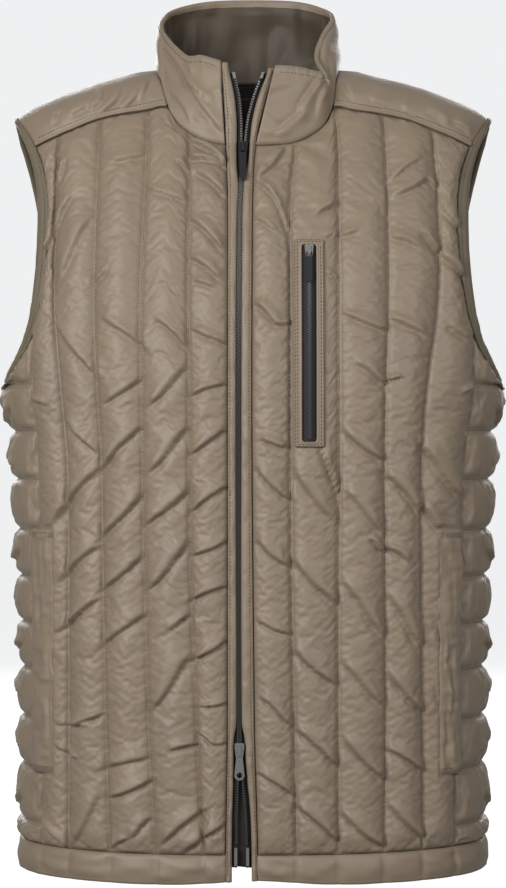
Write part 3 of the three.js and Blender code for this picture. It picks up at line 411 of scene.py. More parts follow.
CLOTH_MASS = 0.08
CLOTH_QUALITY = 5
SETTLE_FRAMES = 16
WADDING_PRESSURE = 3.0
QUILT_GROWTH = 0.015
MOVE_LIMIT = 4.5
PUFF_POWER = 0.4
# Rounds in which a front's or the back's upper edge is found, and the heights that they start from
TOP_ROUNDS = 6
FRONT_TOP_START = -70.0
BACK_TOP_START = -60.0


def settle(grid, pinned, growth, pressure):
    """Cloth simulation of a grid whose pinned points, the sewn lines, hold still.

    The cloth is cut larger than its place by growth, and the wadding presses it outwards, so that it puckers
    along the sewn lines. The result is applied, and no cloth is left on a piece."""
    rows, columns = grid.shape[:2]
    quads = grid_quads(rows, columns)
    i = rows // 2
    j = columns // 2
    middle = grid[i, j]
    if np.dot(np.cross(grid[i + 1, j] - middle, grid[i, j + 1] - middle), middle * (1, 1, 0)) < 0:
        quads = quads[:, ::-1]
    mesh = mesh_of("settling", grid, quads.tolist())
    cloth_object = place_object("settling", mesh)
    group = cloth_object.vertex_groups.new(name="sewn")
    group.add(np.flatnonzero(pinned.ravel()).tolist(), 1, "REPLACE")
    modifier = cloth_object.modifiers.new("settling", "CLOTH")
    settings = modifier.settings
    settings.quality = CLOTH_QUALITY
    settings.mass = CLOTH_MASS
    settings.air_damping = 5
    settings.tension_stiffness = 20
    settings.compression_stiffness = 20
    settings.shear_stiffness = 4
    settings.bending_stiffness = 0.05
    settings.tension_damping = 15
    settings.compression_damping = 15
    settings.vertex_group_mass = "sewn"
    settings.shrink_min = -growth
    settings.use_pressure = True
    settings.uniform_pressure_force = pressure
    settings.effector_weights.gravity = 0
    modifier.collision_settings.use_collision = False
    modifier.point_cache.frame_start = 1
    modifier.point_cache.frame_end = SETTLE_FRAMES
    for number in range(1, SETTLE_FRAMES + 1):
        scene.frame_set(number)
    settled = cloth_object.evaluated_get(bpy.context.evaluated_depsgraph_get()).data
    points = np.empty(rows * columns * 3)
    settled.vertices.foreach_get("co", points)
    scene.frame_set(1)
    bpy.data.objects.remove(cloth_object)
    bpy.data.meshes.remove(mesh)
    return points.reshape(rows, columns, 3) / MM


def across_share(u):
    """Where a point lies in its channel, from 0 at one sewn line to 1 at the next."""
    return u - np.floor(u)


def puff(share):
    """Rise of the padding over a channel: a rounded back between two sewn lines, steep beside them."""
    return PUFF_HEIGHT * np.maximum(np.sin(np.pi * share), 0) ** PUFF_POWER


def front_places(hand, u, v):
    """Sideways place and height on a front: u counts its channels from the placket, v runs from hem to top.

    The top's height depends on the sideways place, and that on the height, so the top is found in rounds."""
    seams = SEAMS[hand]

    def line(k, z):
        """Sideways place of a sewn line."""
        if k == 0:
            return hand * curve(ZIP, SIDE_NAME[hand], "z", z) + SEAM_GAP / 2
        if k == FRONT_CHANNELS:
            return outer_line(z, -1, seams)
        return curve(seams, INNER_LINES[k - 1], "z", z)

    def place(z):
        """Sideways place of each point at a height, between the lines beside it."""
        lines = np.stack([line(k, z) for k in range(FRONT_CHANNELS + 1)])
        k = np.minimum(np.floor(u).astype(int), FRONT_CHANNELS - 1)
        low = np.take_along_axis(lines, k[None], axis=0)[0]
        high = np.take_along_axis(lines, k[None] + 1, axis=0)[0]
        return lerp(low, high, u - k)

    top = np.full(u.shape, FRONT_TOP_START)
    for _ in range(TOP_ROUNDS):
        top = curve(FRONT_TOP, "z", "x", place(top)) - YOKE_GAP
    z = lerp(HEM_SEAM_Z + SEAM_GAP, top, v)
    return hand * place(z), z


def back_places(u, v):
    """Sideways place and height on the back: u counts its channels from right to left."""
    share = 2 * u / BACK_CHANNELS - 1
    top = np.full(u.shape, BACK_TOP_START)
    for _ in range(TOP_ROUNDS):
        top = curve(BACK_TOP, "z", "x", np.abs(share) * outer_line(top, 1, SEAMS_BACK)) - SEAM_GAP
    z = lerp(HEM_SEAM_Z + SEAM_GAP, top, v)
    return share * outer_line(z, 1, SEAMS_BACK), z


def side_places(hand, u, v):
    """Depth and height on a side panel: u runs from its front seam to its back seam, v counts its channels.

    Its last channel rises to the armhole's lower edge, and its sides lean as that edge turns."""
    last = len(SIDE_LINES) - 1
    line_z = np.interp(v, np.arange(last + 1), SIDE_LINES)
    rise = np.clip(v - last, 0, 1)
    fall = (ARMHOLE_Z - SIDE_JOIN_Z) / (ARMHOLE_BOTTOM + BINDING_WIDTH)
    lean = math.acos(fall ** (ARMHOLE_POWER / 2))
    angle = lerp(-math.pi + lean, -math.pi - lean, u)
    turn = armhole(angle, 1)[0]
    seam_z = np.maximum(lerp(line_z, SIDE_JOIN_Z, rise), HEM_SEAM_Z + SEAM_GAP)
    ends = []
    for side, seams in ((-1, SEAMS[hand]), (1, SEAMS_BACK)):
        x = side_seam(seam_z, side, seams) + SEAM_GAP / 2
        ends.append(side * depth(seam_z, side) * oval_rest(x / half_width(seam_z)))
    first = armhole(np.array(-math.pi + lean), 1)[0]
    final = armhole(np.array(-math.pi - lean), 1)[0]
    y = lerp(ends[0], ends[1], (turn - first) / (final - first))
    reach = np.where(y < 0, ARMHOLE_FRONT, ARMHOLE_BACK) + BINDING_WIDTH * PANEL_GROW
    rest = (1 - np.minimum(np.abs(y) / reach, 1) ** ARMHOLE_POWER) ** (1 / ARMHOLE_POWER)
    low_edge = ARMHOLE_Z - (ARMHOLE_BOTTOM + BINDING_WIDTH * PANEL_GROW) * rest
    return y, lerp(np.maximum(line_z, HEM_SEAM_Z + SEAM_GAP), low_edge - UNDERARM_GAP, rise)


# Materials

def rgb(text):
    """Linear colour of an sRGB hex value, by the sRGB curve."""
    parts = [int(text[i:i + 2], 16) / 255 for i in (0, 2, 4)]
    return [p / 12.92 if p <= 0.04045 else ((p + 0.055) / 1.055) ** 2.4 for p in parts] + [1]


def add_node(tree, kind, settings, inputs):
    """Adds a node: settings are its own properties, inputs its sockets' values or other nodes' outputs."""
    added = tree.nodes.new(kind)
    for key, value in settings.items():
        setattr(added, key, value)
    for key, value in inputs.items():
        if isinstance(value, bpy.types.NodeSocket):
            tree.links.new(value, added.inputs[key])
        else:
            added.inputs[key].default_value = value
    return added


def new_material(name):
    """An empty material and its tree, with the shader and the object's own coordinates ready."""
    material = bpy.data.materials.new(name)
    material.use_nodes = True
    tree = material.node_tree
    place = add_node(tree, "ShaderNodeTexCoord", {}, {}).outputs["Object"]
    return material, tree, tree.nodes["Principled BSDF"], place


# Real sizes of the patterns, in millimetres: soft patches of colour and small folds in cloth, smears on metal
PATCH_SIZE = 38.46
FOLD_SIZE = 10.53
SMEAR_SIZE = 1.11
# A weft lies a little wider than the warp
WEFT_SHARE = 1.3


def noise(tree, place, size, detail, roughness=0.5):
    """Soft noise whose patches are about as large as size, in millimetres."""
    return add_node(tree, "ShaderNodeTexNoise", {}, {
        "Vector": place, "Scale": 1 / (size * MM), "Detail": detail, "Roughness": roughness})


def bands(tree, place, direction, spacing):
    """Even ribs along one axis, spacing in millimetres from rib to rib."""
    return add_node(tree, "ShaderNodeTexWave", {"bands_direction": direction}, {
        "Vector": place, "Scale": 2 * math.pi / (20 * spacing * MM)})


def woven(name, dark, light, rib, roughness, sheen, rib_depth=0.05, crumple=0.25):
    """A plain weave: two crossing rib patterns as bump, soft patches of colour and a slightly crumpled face.

    rib, rib_depth and crumple are in millimetres."""
    material, tree, shader, place = new_material(name)
    patches = noise(tree, place, PATCH_SIZE, 3, 0.6)
    colour = add_node(tree, "ShaderNodeMix", {"data_type": "RGBA"}, {
        "Factor": patches.outputs["Fac"], "A": rgb(dark), "B": rgb(light)})
    warp = bands(tree, place, "X", rib)
    weft = bands(tree, place, "Z", rib * WEFT_SHARE)
    threads = add_node(tree, "ShaderNodeMath", {"operation": "ADD"}, {
        0: warp.outputs["Fac"], 1: weft.outputs["Fac"]})
    weave = add_node(tree, "ShaderNodeBump", {}, {
        "Strength": 0.35, "Distance": rib_depth * MM, "Height": threads.outputs["Value"]})
    folds = noise(tree, place, FOLD_SIZE, 4)
    bump = add_node(tree, "ShaderNodeBump", {}, {
        "Strength": 0.5, "Distance": crumple * MM, "Height": folds.outputs["Fac"],
        "Normal": weave.outputs["Normal"]})
    tree.links.new(colour.outputs["Result"], shader.inputs["Base Color"])
    tree.links.new(bump.outputs["Normal"], shader.inputs["Normal"])
    shader.inputs["Roughness"].default_value = roughness
    shader.inputs["Sheen Weight"].default_value = sheen
    shader.inputs["Sheen Roughness"].default_value = 0.35
    shader.inputs["Specular IOR Level"].default_value = 0.4
    return material


def cast(name, colour, roughness, metallic, coat=0.0):
    """Die-cast metal, plated or enamelled: faint pits and smears in its gloss."""
    material, tree, shader, place = new_material(name)
    smears = noise(tree, place, SMEAR_SIZE, 3)
    gloss = add_node(tree, "ShaderNodeMapRange", {}, {
        "Value": smears.outputs["Fac"], "To Min": roughness * 0.8, "To Max": roughness * 1.25})
    pits = add_node(tree, "ShaderNodeBump", {}, {
        "Strength": 0.2, "Distance": 0.03 * MM, "Height": smears.outputs["Fac"]})
    tree.links.new(gloss.outputs["Result"], shader.inputs["Roughness"])
    tree.links.new(pits.outputs["Normal"], shader.inputs["Normal"])
    shader.inputs["Base Color"].default_value = rgb(colour)
    shader.inputs["Metallic"].default_value = metallic
    shader.inputs["Coat Weight"].default_value = coat
    return material


# Nylon taffeta, woven and calendered: a smooth olive taupe face with a soft sheen. Its 0.2 mm threads are
# drawn 0.6 mm apart so that they show
taffeta = woven("nylon_taffeta", "76685A", "82735F", 0.6, 0.5, 0.1, crumple=0.1)
# The same taffeta, folded double round the armholes: a darker, flatter olive
binding_taffeta = woven("nylon_binding", "5F5646", "6A604F", 0.6, 0.55, 0.1)
# Nylon taffeta inside the collar, more matt, with fine folds: the shell's olive darkened by painted shade, for
# the shade that falls inside the collar
collar_inside_painted_shade = woven("nylon_collar_inside_painted_shade", "3C3327", "493F31", 0.6, 0.6, 0.1, crumple=0.2)
# Polyester lining, woven: nearly black brown, with little gloss
lining_cloth = woven("polyester_lining", "1B1714", "231E1A", 0.7, 0.6, 0.05)
# Zip tape, polyester twill: black and matt, with upright ribs
zip_twill = woven("polyester_zip_tape", "141317", "1E1D21", 0.9, 0.75, 0.1, rib_depth=0.12)
# Core-spun polyester thread, with no gloss: the shell's colour a little darker, and darker still by painted
# shade, for the shade in the troughs of the sewn lines
thread = woven("polyester_thread_painted_shade", "4A4236", "544B3D", 0.3, 0.8, 0.1, crumple=0.02)
# Zip teeth, stamped brass with an oxidised finish: dark grey metal whose edges catch the light
oxidised_brass = cast("oxidised_brass_teeth", "7A7873", 0.34, 1.0)
# Zinc sliders, die-cast and nickel plated: bright, with softly scattered reflections
nickel = cast("nickel_plated_zinc", "B4B3AE", 0.28, 1.0)
# Zinc sliders, die-cast and enamelled: black with a clear gloss
black_enamel = cast("black_enamelled_zinc", "1B1B1E", 0.3, 0.0, coat=0.5)


def backlit(name, colour, strength):
    """Pale stage cloth, lit from behind: matt, even and nearly white."""
    material = cast(name, colour, 1.0, 0.0)
    shader = material.node_tree.nodes["Principled BSDF"]
    shader.inputs["Emission Color"].default_value = rgb("F4F5F6")
    shader.inputs["Emission Strength"].default_value = strength
    return material


# Stage floor, a translucent sheet over lamps: even and pale, and shadows still show on it
floor_sheet = backlit("backlit_floor_sheet", "8C8C8A", 0.86)
# Backdrop of stretched cloth, lit from behind: nearly white, and it takes no shadow
backdrop_cloth = backlit("backlit_backdrop_cloth", "101010", 0.95)


# Creases, listed one by one: the ends of each one in the photograph's pixels, its depth and width in
# millimetres

CREASE_COLUMNS = "left top right bottom depth width"
CREASES_FRONT = table(
    CREASE_COLUMNS,
    (53, 239, 73, 202, 1.8, 5), (36, 272, 51, 242, 2.4, 4), (58, 183, 68, 164, 1.4, 4),
    (65, 272, 93, 222, 1.6, 7), (94, 284, 108, 270, 1.2, 4), (114, 163, 143, 159, 1.3, 5),
    (144, 189, 186, 202, 1.1, 4),
    (179, 164, 189, 175, 1.6, 4), (192, 143, 229, 167, 2.6, 5), (191, 159, 229, 169, 2.4, 4),
    (199, 178, 227, 196, 2.4, 6), (192, 222, 220, 248, 2.4, 5), (192, 260, 219, 279, 1.8, 5),
    (197, 282, 212, 290, 1.6, 4), (109, 320, 146, 352, 1.6, 7), (160, 322, 186, 348, 1.6, 6),
    (196, 330, 226, 346, 1.9, 5), (58, 322, 96, 380, 1.6, 8), (112, 402, 142, 376, 1.9, 6),
    (152, 402, 184, 372, 2.1, 6), (192, 396, 224, 384, 1.8, 5), (70, 420, 96, 452, 1.7, 6),
    (104, 470, 140, 428, 2.2, 7), (152, 468, 186, 432, 2.2, 7), (190, 452, 226, 432, 2.1, 6),
    (60, 520, 96, 472, 2.3, 8), (106, 536, 142, 492, 2.2, 7), (150, 524, 188, 488, 2.3, 7),
    (192, 512, 226, 486, 2.1, 6), (66, 578, 98, 548, 2.1, 7), (106, 590, 140, 556, 2.1, 7),
    (152, 584, 188, 546, 2.4, 8), (194, 556, 226, 540, 2.0, 5), (65, 627, 98, 602, 2.6, 5),
    (105, 648, 144, 612, 2.0, 8), (152, 706, 190, 660, 2.0, 10), (171, 627, 189, 616, 2.2, 4),
    (192, 600, 224, 586, 2.4, 5), (194, 660, 225, 640, 2.4, 5), (201, 706, 227, 702, 1.8, 4),
    (199, 734, 213, 742, 2.2, 4), (213, 744, 226, 741, 1.6, 4), (173, 749, 197, 744, 2.4, 4),
    (113, 796, 151, 780, 2.6, 5), (105, 770, 146, 755, 1.8, 7), (134, 834, 151, 819, 1.8, 5),
    (167, 840, 203, 809, 2.4, 6), (186, 853, 222, 824, 2.2, 6), (65, 723, 88, 727, 1.8, 4),
    (80, 725, 102, 713, 2.2, 4), (62, 748, 80, 757, 1.6, 4), (46, 820, 67, 851, 2.2, 5),
    (76, 840, 100, 800, 1.6, 7), (110, 850, 128, 838, 1.6, 4),
    (258, 179, 286, 150, 1.8, 9), (255, 183, 273, 198, 1.8, 4), (273, 198, 289, 236, 1.7, 4),
    (255, 221, 273, 232, 1.6, 4), (319, 216, 336, 203, 2.0, 5), (326, 239, 356, 232, 1.2, 4),
    (392, 179, 417, 164, 1.6, 5), (396, 196, 424, 181, 1.6, 6), (424, 181, 434, 190, 1.5, 4),
    (392, 237, 412, 249, 1.6, 5), (420, 236, 439, 252, 1.8, 5), (442, 256, 469, 289, 2.4, 5),
    (467, 181, 477, 199, 1.8, 4), (440, 208, 460, 231, 1.6, 6), (324, 274, 336, 280, 1.5, 3),
    (255, 305, 276, 325, 2.3, 5), (276, 325, 289, 323, 1.9, 4), (346, 315, 384, 331, 1.9, 5),
    (391, 317, 420, 336, 1.9, 5), (447, 325, 460, 340, 1.9, 5), (386, 381, 399, 378, 2.0, 3),
    (356, 366, 384, 383, 1.9, 6), (263, 441, 286, 446, 2.5, 4), (322, 444, 339, 502, 2.5, 5),
    (346, 433, 379, 459, 2.4, 6), (420, 448, 455, 492, 2.8, 8), (386, 474, 415, 512, 2.6, 7),
    (420, 506, 440, 532, 2.6, 6), (369, 540, 381, 550, 2.0, 4), (386, 547, 402, 560, 2.3, 5),
    (344, 494, 380, 528, 1.9, 8), (296, 470, 330, 520, 1.7, 8), (258, 470, 288, 500, 1.9, 6),
    (258, 540, 286, 566, 2.0, 7), (296, 560, 334, 604, 2.0, 8), (344, 588, 380, 630, 2.2, 8),
    (388, 600, 416, 640, 2.2, 7), (258, 620, 288, 634, 1.8, 5), (296, 650, 332, 684, 2.1, 7),
    (344, 668, 378, 700, 2.1, 7), (390, 676, 420, 712, 2.2, 6), (262, 700, 290, 722, 1.9, 6),
    (298, 730, 334, 766, 2.3, 7), (346, 740, 380, 778, 2.2, 7), (386, 748, 418, 770, 2.1, 5),
    (260, 772, 292, 796, 2.0, 6), (298, 806, 336, 842, 2.3, 6), (346, 816, 380, 846, 2.2, 6),
    (390, 806, 420, 838, 2.0, 6), (432, 620, 448, 660, 1.8, 6), (434, 690, 446, 720, 1.8, 5),
    (20, 392, 46, 404, 2.2, 4), (462, 392, 492, 384, 2.2, 4),
)
# The same on the back: ends in millimetres sideways and upwards
CREASES_BACK = table(
    CREASE_COLUMNS,
    (-166, -80, -140, -122, 1.8, 6), (-140, -150, -112, -176, 2.0, 6), (-108, -70, -80, -112, 1.6, 7),
    (-100, -196, -74, -228, 2.0, 6), (-66, -96, -40, -140, 1.7, 8), (-64, -226, -38, -252, 2.1, 6),
    (-30, -60, -6, -92, 1.5, 7), (-32, -300, -2, -326, 2.2, 6), (4, -150, 32, -182, 1.9, 7),
    (6, -246, 34, -222, 2.0, 6), (40, -110, 70, -82, 1.7, 7), (42, -320, 70, -292, 2.2, 6),
    (76, -200, 106, -166, 2.0, 7), (80, -88, 104, -64, 1.5, 6), (112, -262, 142, -228, 2.1, 7),
    (116, -140, 144, -112, 1.8, 6), (146, -190, 168, -160, 1.9, 6), (-172, -260, -146, -296, 2.2, 6),
    (-138, -330, -110, -362, 2.3, 7), (-104, -286, -76, -312, 2.0, 6), (-100, -400, -72, -440, 2.3, 7),
    (-66, -356, -40, -392, 2.2, 6), (-62, -470, -38, -498, 2.3, 6), (-30, -410, -4, -444, 2.2, 7),
    (-28, -540, 0, -570, 2.3, 6), (4, -380, 32, -352, 2.2, 6), (6, -476, 34, -450, 2.2, 7),
    (40, -430, 68, -398, 2.3, 7), (42, -546, 70, -516, 2.3, 6), (76, -350, 104, -318, 2.1, 6),
    (78, -470, 106, -436, 2.3, 7), (112, -392, 140, -360, 2.2, 6), (114, -520, 142, -486, 2.3, 7),
    (146, -310, 170, -284, 2.1, 5), (146, -446, 170, -416, 2.2, 6), (-168, -400, -144, -436, 2.2, 6),
    (-170, -520, -144, -556, 2.3, 6), (-136, -450, -110, -486, 2.3, 6), (-134, -580, -108, -616, 2.3, 7),
    (-100, -520, -74, -552, 2.2, 6), (-98, -640, -74, -610, 2.0, 5), (-64, -600, -38, -634, 2.3, 6),
    (4, -620, 32, -590, 2.3, 6), (40, -640, 68, -616, 2.1, 6), (76, -600, 104, -566, 2.3, 7),
    (112, -640, 140, -606, 2.2, 6), (146, -580, 170, -548, 2.2, 6),
)
# The same on a side panel: ends as depth and height, above 0 towards the back
CREASES_SIDE = table(
    CREASE_COLUMNS,
    (-52, -300, -30, -312, 2.0, 5), (-10, -292, 16, -304, 1.8, 5), (30, -336, 52, -348, 2.0, 5),
    (-44, -350, -16, -340, 2.0, 5), (6, -378, 34, -392, 2.2, 5), (-50, -420, -26, -432, 2.1, 5),
    (-6, -430, 20, -416, 2.0, 5), (28, -470, 54, -458, 2.2, 5), (-48, -500, -20, -510, 2.0, 5),
    (0, -512, 28, -500, 2.1, 5), (-40, -548, -12, -538, 2.2, 5), (20, -586, 46, -572, 2.0, 5),
    (-50, -594, -24, -582, 2.1, 5), (-4, -640, 24, -626, 2.1, 5), (-46, -634, -20, -644, 2.0, 5),
)


# How much of a row's width lies on one side of its line, and what its depth is multiplied by
CREASE_WIDTH = 0.54
CREASE_DEPTH = 1.9
# The shape across: how many widths it reaches, how far and how fast its line wanders, steepness, width and
# height of its drop, height, middle and width of the swell above, and depth of the bell in its line
CREASE_REACH = 4
CREASE_WANDER = (0.5, 3.1)
CREASE_DROP = (3.2, 1.5, 0.62)
CREASE_SWELL = (0.55, 0.5, 2.1)
CREASE_BELL = 0.25
# Along its line: where it begins, is full, starts to fade and ends
CREASE_TAPER = (-0.25, 0.2, 0.8, 1.25)


def crease_field(a, b, rows, scale=1.0):
    """Sum of soft folds over a plane. Each lies along a straight line: cloth swells towards it from above,
    drops sharply over it and comes back softly below it, a steep step times a bell, tapered to both ends.

    scale turns the plane's own units to millimetres."""
    total = np.zeros(a.shape)
    begin, full, fade, end = CREASE_TAPER
    for left, top, right, bottom, deep, width in zip(*(rows[key] for key in rows)):
        length = math.hypot(right - left, bottom - top)
        ux = (right - left) / length
        uy = (bottom - top) / length
        along = ((a - left) * ux + (b - top) * uy) / length
        across = (-(a - left) * uy + (b - top) * ux) * scale / (CREASE_WIDTH * width)
        near = (np.abs(across) < CREASE_REACH) & (along > begin) & (along < end)
        taper = ease(begin, full, along) * (1 - ease(fade, end, along))
        bend = across + CREASE_WANDER[0] * np.sin(CREASE_WANDER[1] * along + left)
        swell = CREASE_SWELL[0] * np.exp(-((bend - CREASE_SWELL[1]) / CREASE_SWELL[2]) ** 2)
        drop = np.tanh(CREASE_DROP[0] * bend) * np.exp(-(bend / CREASE_DROP[1]) ** 2) * CREASE_DROP[2]
        shape = drop + swell * (bend > 0) - CREASE_BELL * np.exp(-bend**2)
        total += np.where(near, CREASE_DEPTH * deep * taper * shape, 0)
    return total


def picture_place(points):
    """Pixels of the photograph at which points are seen: a pinhole camera in front of the vest."""
    away = CAMERA_DISTANCE + points[..., 1]
    left = IMAGE[0] / 2 + FOCAL_PIXELS * points[..., 0] / away
    top = IMAGE[1] / 2 - FOCAL_PIXELS * (points[..., 2] - CAMERA_HEIGHT) / away
    return left, top


# Millimetres to a pixel on the vest's front, whose way from the camera is this share of CAMERA_DISTANCE.
# Pixels count downwards, and the minus puts each swell above its line
FRONT_NEARER = 0.94
PIXEL = -CAMERA_DISTANCE / FOCAL_PIXELS * FRONT_NEARER


# Quilted panels: their steps across a channel and along it

FRONT_CELLS = 12
BACK_CELLS = 10
SIDE_CELLS = 8
SIDE_COLUMNS = 36
FRONT_ROWS = 240
BACK_ROWS = 190
# Rough lengths over which their plain seams are measured, and how the padding rises from such a seam
FRONT_LENGTH = 600
BACK_LENGTH = 650
SIDE_WIDTH = 130
EDGE_TAPER = 14
EDGE_POWER = 0.6
# The padding's share before it settles, and its fine unevenness
COARSE_SHARE = 0.85
GRAIN = 0.12
# The lowest and highest rise and how softly it is held, the trough along a sewn line, and the shares of the
# full rise at which the trough ends and a crease is whole
RISE_LIMITS = (-1.6, 9)
SOFT_LIMIT = 1.8
SEWN_TROUGH = 1.4
TROUGH_END = 0.3
CREASE_WHOLE = 0.35
SEAM_ALLOWANCE = 0.9


def with_allowance(grid):
    """A grid whose border is moved out by the seam allowance, each row along its own last step."""
    grid = grid.copy()
    for axis in (0, 1):
        rows = np.moveaxis(grid, axis, 0)
        rows[0] += unit(rows[0] - rows[1]) * SEAM_ALLOWANCE
        rows[-1] += unit(rows[-1] - rows[-2]) * SEAM_ALLOWANCE
    return grid


# What is sewn on the fronts holds the padding down: sides, top and bottom of each, and the rise left under it
HELD_DOWN = ((32.5, 59.5, -160.5, -335), (-187, -166, -401.5, -610.5), (154, 175, -401.5, -610.5))
HELD_RISE = 5.3
HELD_EDGE = 5


def held_limit(points):
    """Highest rise of the padding: low under the pockets on the fronts, and easing off round them."""
    limit = np.full(points.shape[:-1], RISE_LIMITS[1])
    for left, right, top, bottom in HELD_DOWN:
        beside = np.maximum(np.maximum(left - points[..., 0], points[..., 0] - right), 0)
        above = np.maximum(np.maximum(points[..., 2] - top, bottom - points[..., 2]), 0)
        away = np.hypot(beside, above)
        held = lerp(HELD_RISE, RISE_LIMITS[1], ease(0, HELD_EDGE, away))
        limit = np.where(points[..., 1] < 0, np.minimum(limit, held), limit)
    return limit


def quilted_panel(name, node, form, u, v, share, to_edge, pinned, creases):
    """A padded panel: form gives its place for a level, share its place within a channel, and to_edge the way
    to its nearest plain seam. The puffed form is settled as cloth, and listed creases are laid on it.

    The grain's seed follows from the name's length."""
    padding = puff(share) * np.clip(to_edge / EDGE_TAPER, 0, 1) ** EDGE_POWER
    plain = form(u, v, np.full(u.shape, float(SEAM_LEVEL)))
    grain = np.random.default_rng(len(name) * 7 + 1).normal(0, GRAIN, u.shape) * (padding > 1)
    coarse = form(u, v, SEAM_LEVEL + padding * COARSE_SHARE + grain)
    moved = settle(coarse, pinned, QUILT_GROWTH, WADDING_PRESSURE) - coarse
    reach = np.linalg.norm(moved, axis=-1, keepdims=True)
    coarse = coarse + moved * np.minimum(1, MOVE_LIMIT / np.maximum(reach, 1e-6))
    fine = finer(coarse)
    base = finer(plain)
    out = normals_of(base, base * (1, 1, 0))
    full = np.clip(finer(padding[..., None])[..., 0] / PUFF_HEIGHT, 0, 1)
    fine = fine - out * (SEWN_TROUGH * (1 - ease(0, TROUGH_END, full)))[..., None]
    fine = fine + out * (creases(base) * ease(0, CREASE_WHOLE, full))[..., None]
    rise = np.sum((fine - base) * out, axis=-1, keepdims=True)
    knee = held_limit(base)[..., None] - SOFT_LIMIT
    over = np.maximum(rise - knee, 0)
    eased = rise - over + SOFT_LIMIT * np.tanh(over / SOFT_LIMIT)
    fine = fine + out * (np.maximum(eased, RISE_LIMITS[0]) - rise)
    inner = form(u, v, np.full(u.shape, float(INNER_LEVEL)))
    piece = shell(name, fine, with_allowance(inner), [taffeta, lining_cloth])
    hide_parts(node)
    return fine


def add_front(hand):
    """A front: upright channels, from the placket seam to the side seam and the armhole."""
    side = SIDE_NAME[hand]
    u, v = np.meshgrid(np.linspace(0, FRONT_CHANNELS, FRONT_CHANNELS * FRONT_CELLS + 1),
                       np.linspace(0, 1, FRONT_ROWS + 1), indexing="ij")

    def form(u, v, level):
        """The front's points at a level."""
        x, z = front_places(hand, u, v)
        return skin(x, z, -1, level)

    pinned = np.zeros(u.shape, bool)
    pinned[::FRONT_CELLS] = True
    pinned[:, [0, -1]] = True
    return quilted_panel(
        f"front_{side}_cloth", f"front_{side}", form, u, v, across_share(u),
        np.minimum(v, 1 - v) * FRONT_LENGTH, pinned,
        lambda points: crease_field(*picture_place(points), CREASES_FRONT, PIXEL))


def add_back():
    """The back: ten upright channels, from side seam to side seam."""
    u, v = np.meshgrid(np.linspace(0, BACK_CHANNELS, BACK_CHANNELS * BACK_CELLS + 1),
                       np.linspace(0, 1, BACK_ROWS + 1), indexing="ij")

    def form(u, v, level):
        """The back's points at a level."""
        x, z = back_places(u, v)
        return skin(x, z, 1, level)

    pinned = np.zeros(u.shape, bool)
    pinned[::BACK_CELLS] = True
    pinned[:, [0, -1]] = True
    return quilted_panel(
        "back_cloth", "back", form, u, v, across_share(u), np.minimum(v, 1 - v) * BACK_LENGTH, pinned,
        lambda points: crease_field(points[..., 0], points[..., 2], CREASES_BACK))


def add_side(hand):
    """A side panel: level channels under the armhole, the last one cut round to it."""
    side = SIDE_NAME[hand]
    channels = len(SIDE_LINES)
    u, v = np.meshgrid(np.linspace(0, 1, SIDE_COLUMNS + 1),
                       np.linspace(0, channels, channels * SIDE_CELLS + 1), indexing="ij")

    def form(u, v, level):
        """The side panel's points at a level."""
        y, z = side_places(hand, u, v)
        return flank(y, z, hand, level)

    pinned = np.zeros(u.shape, bool)
    pinned[:, ::SIDE_CELLS] = True
    pinned[[0, -1]] = True
    return quilted_panel(
        f"side_{side}_cloth", f"side_{side}", form, u, v, across_share(v),
        np.minimum(u, 1 - u) * SIDE_WIDTH, pinned,
        lambda points: crease_field(points[..., 1], points[..., 2], CREASES_SIDE))


fronts = {hand: add_front(hand) for hand in (-1, 1)}
back_surface = add_back()
side_surfaces = {hand: add_side(hand) for hand in (-1, 1)}


# Plain pieces. Sideways places of a yoke's ends at neck and armhole: on the ridge, in front and behind

YOKE_RIDGE = (79.8, 205.6)
YOKE_FRONT = (71.2, 188.6)
YOKE_BACK = (70, 206.2)
# A yoke's steps along and around, its rough size the same ways, and the rise of its wadding from its seams
YOKE_STEPS = (73, 97)
YOKE_SIZE = (120, 70)
YOKE_RISE = 2.4
YOKE_EDGE = 16
PIPING_RADIUS = 1.35
PIPING_LEVEL = -0.9
PIPING_INSET = 0.6


def fill_soft(seed, shape, spans, sizes):
    """Seeded soft unevenness on a grid: random values on coarse lattices, spread by a smooth step, summed."""
    rng = np.random.default_rng(seed)
    total = np.zeros(shape)
    for span, size in zip(spans, sizes):
        counts = [max(int(round(n / s)), 1) + 2 for n, s in zip(shape, span)]
        lattice = rng.normal(0, size, counts)
        a = np.linspace(0, counts[0] - 1.001, shape[0])[:, None]
        b = np.linspace(0, counts[1] - 1.001, shape[1])[None]
        i = np.floor(a).astype(int)
        j = np.floor(b).astype(int)
        fa = ease(0, 1, a - i)
        fb = ease(0, 1, b - j)
        near = lerp(lattice[i, j], lattice[i + 1, j], fa)
        far = lerp(lattice[i, j + 1], lattice[i + 1, j + 1], fa)
        total += lerp(near, far, fb)
    return total


def ridge_height(x):
    """Height at which the ridge of the shoulder lies this far out, found by halving."""
    high = np.zeros_like(x)
    low = np.full_like(x, -50.0)
    for _ in range(30):
        middle = (high + low) / 2
        inside = half_width(middle) < x
        high = np.where(inside, middle, high)
        low = np.where(inside, low, middle)
    return (high + low) / 2


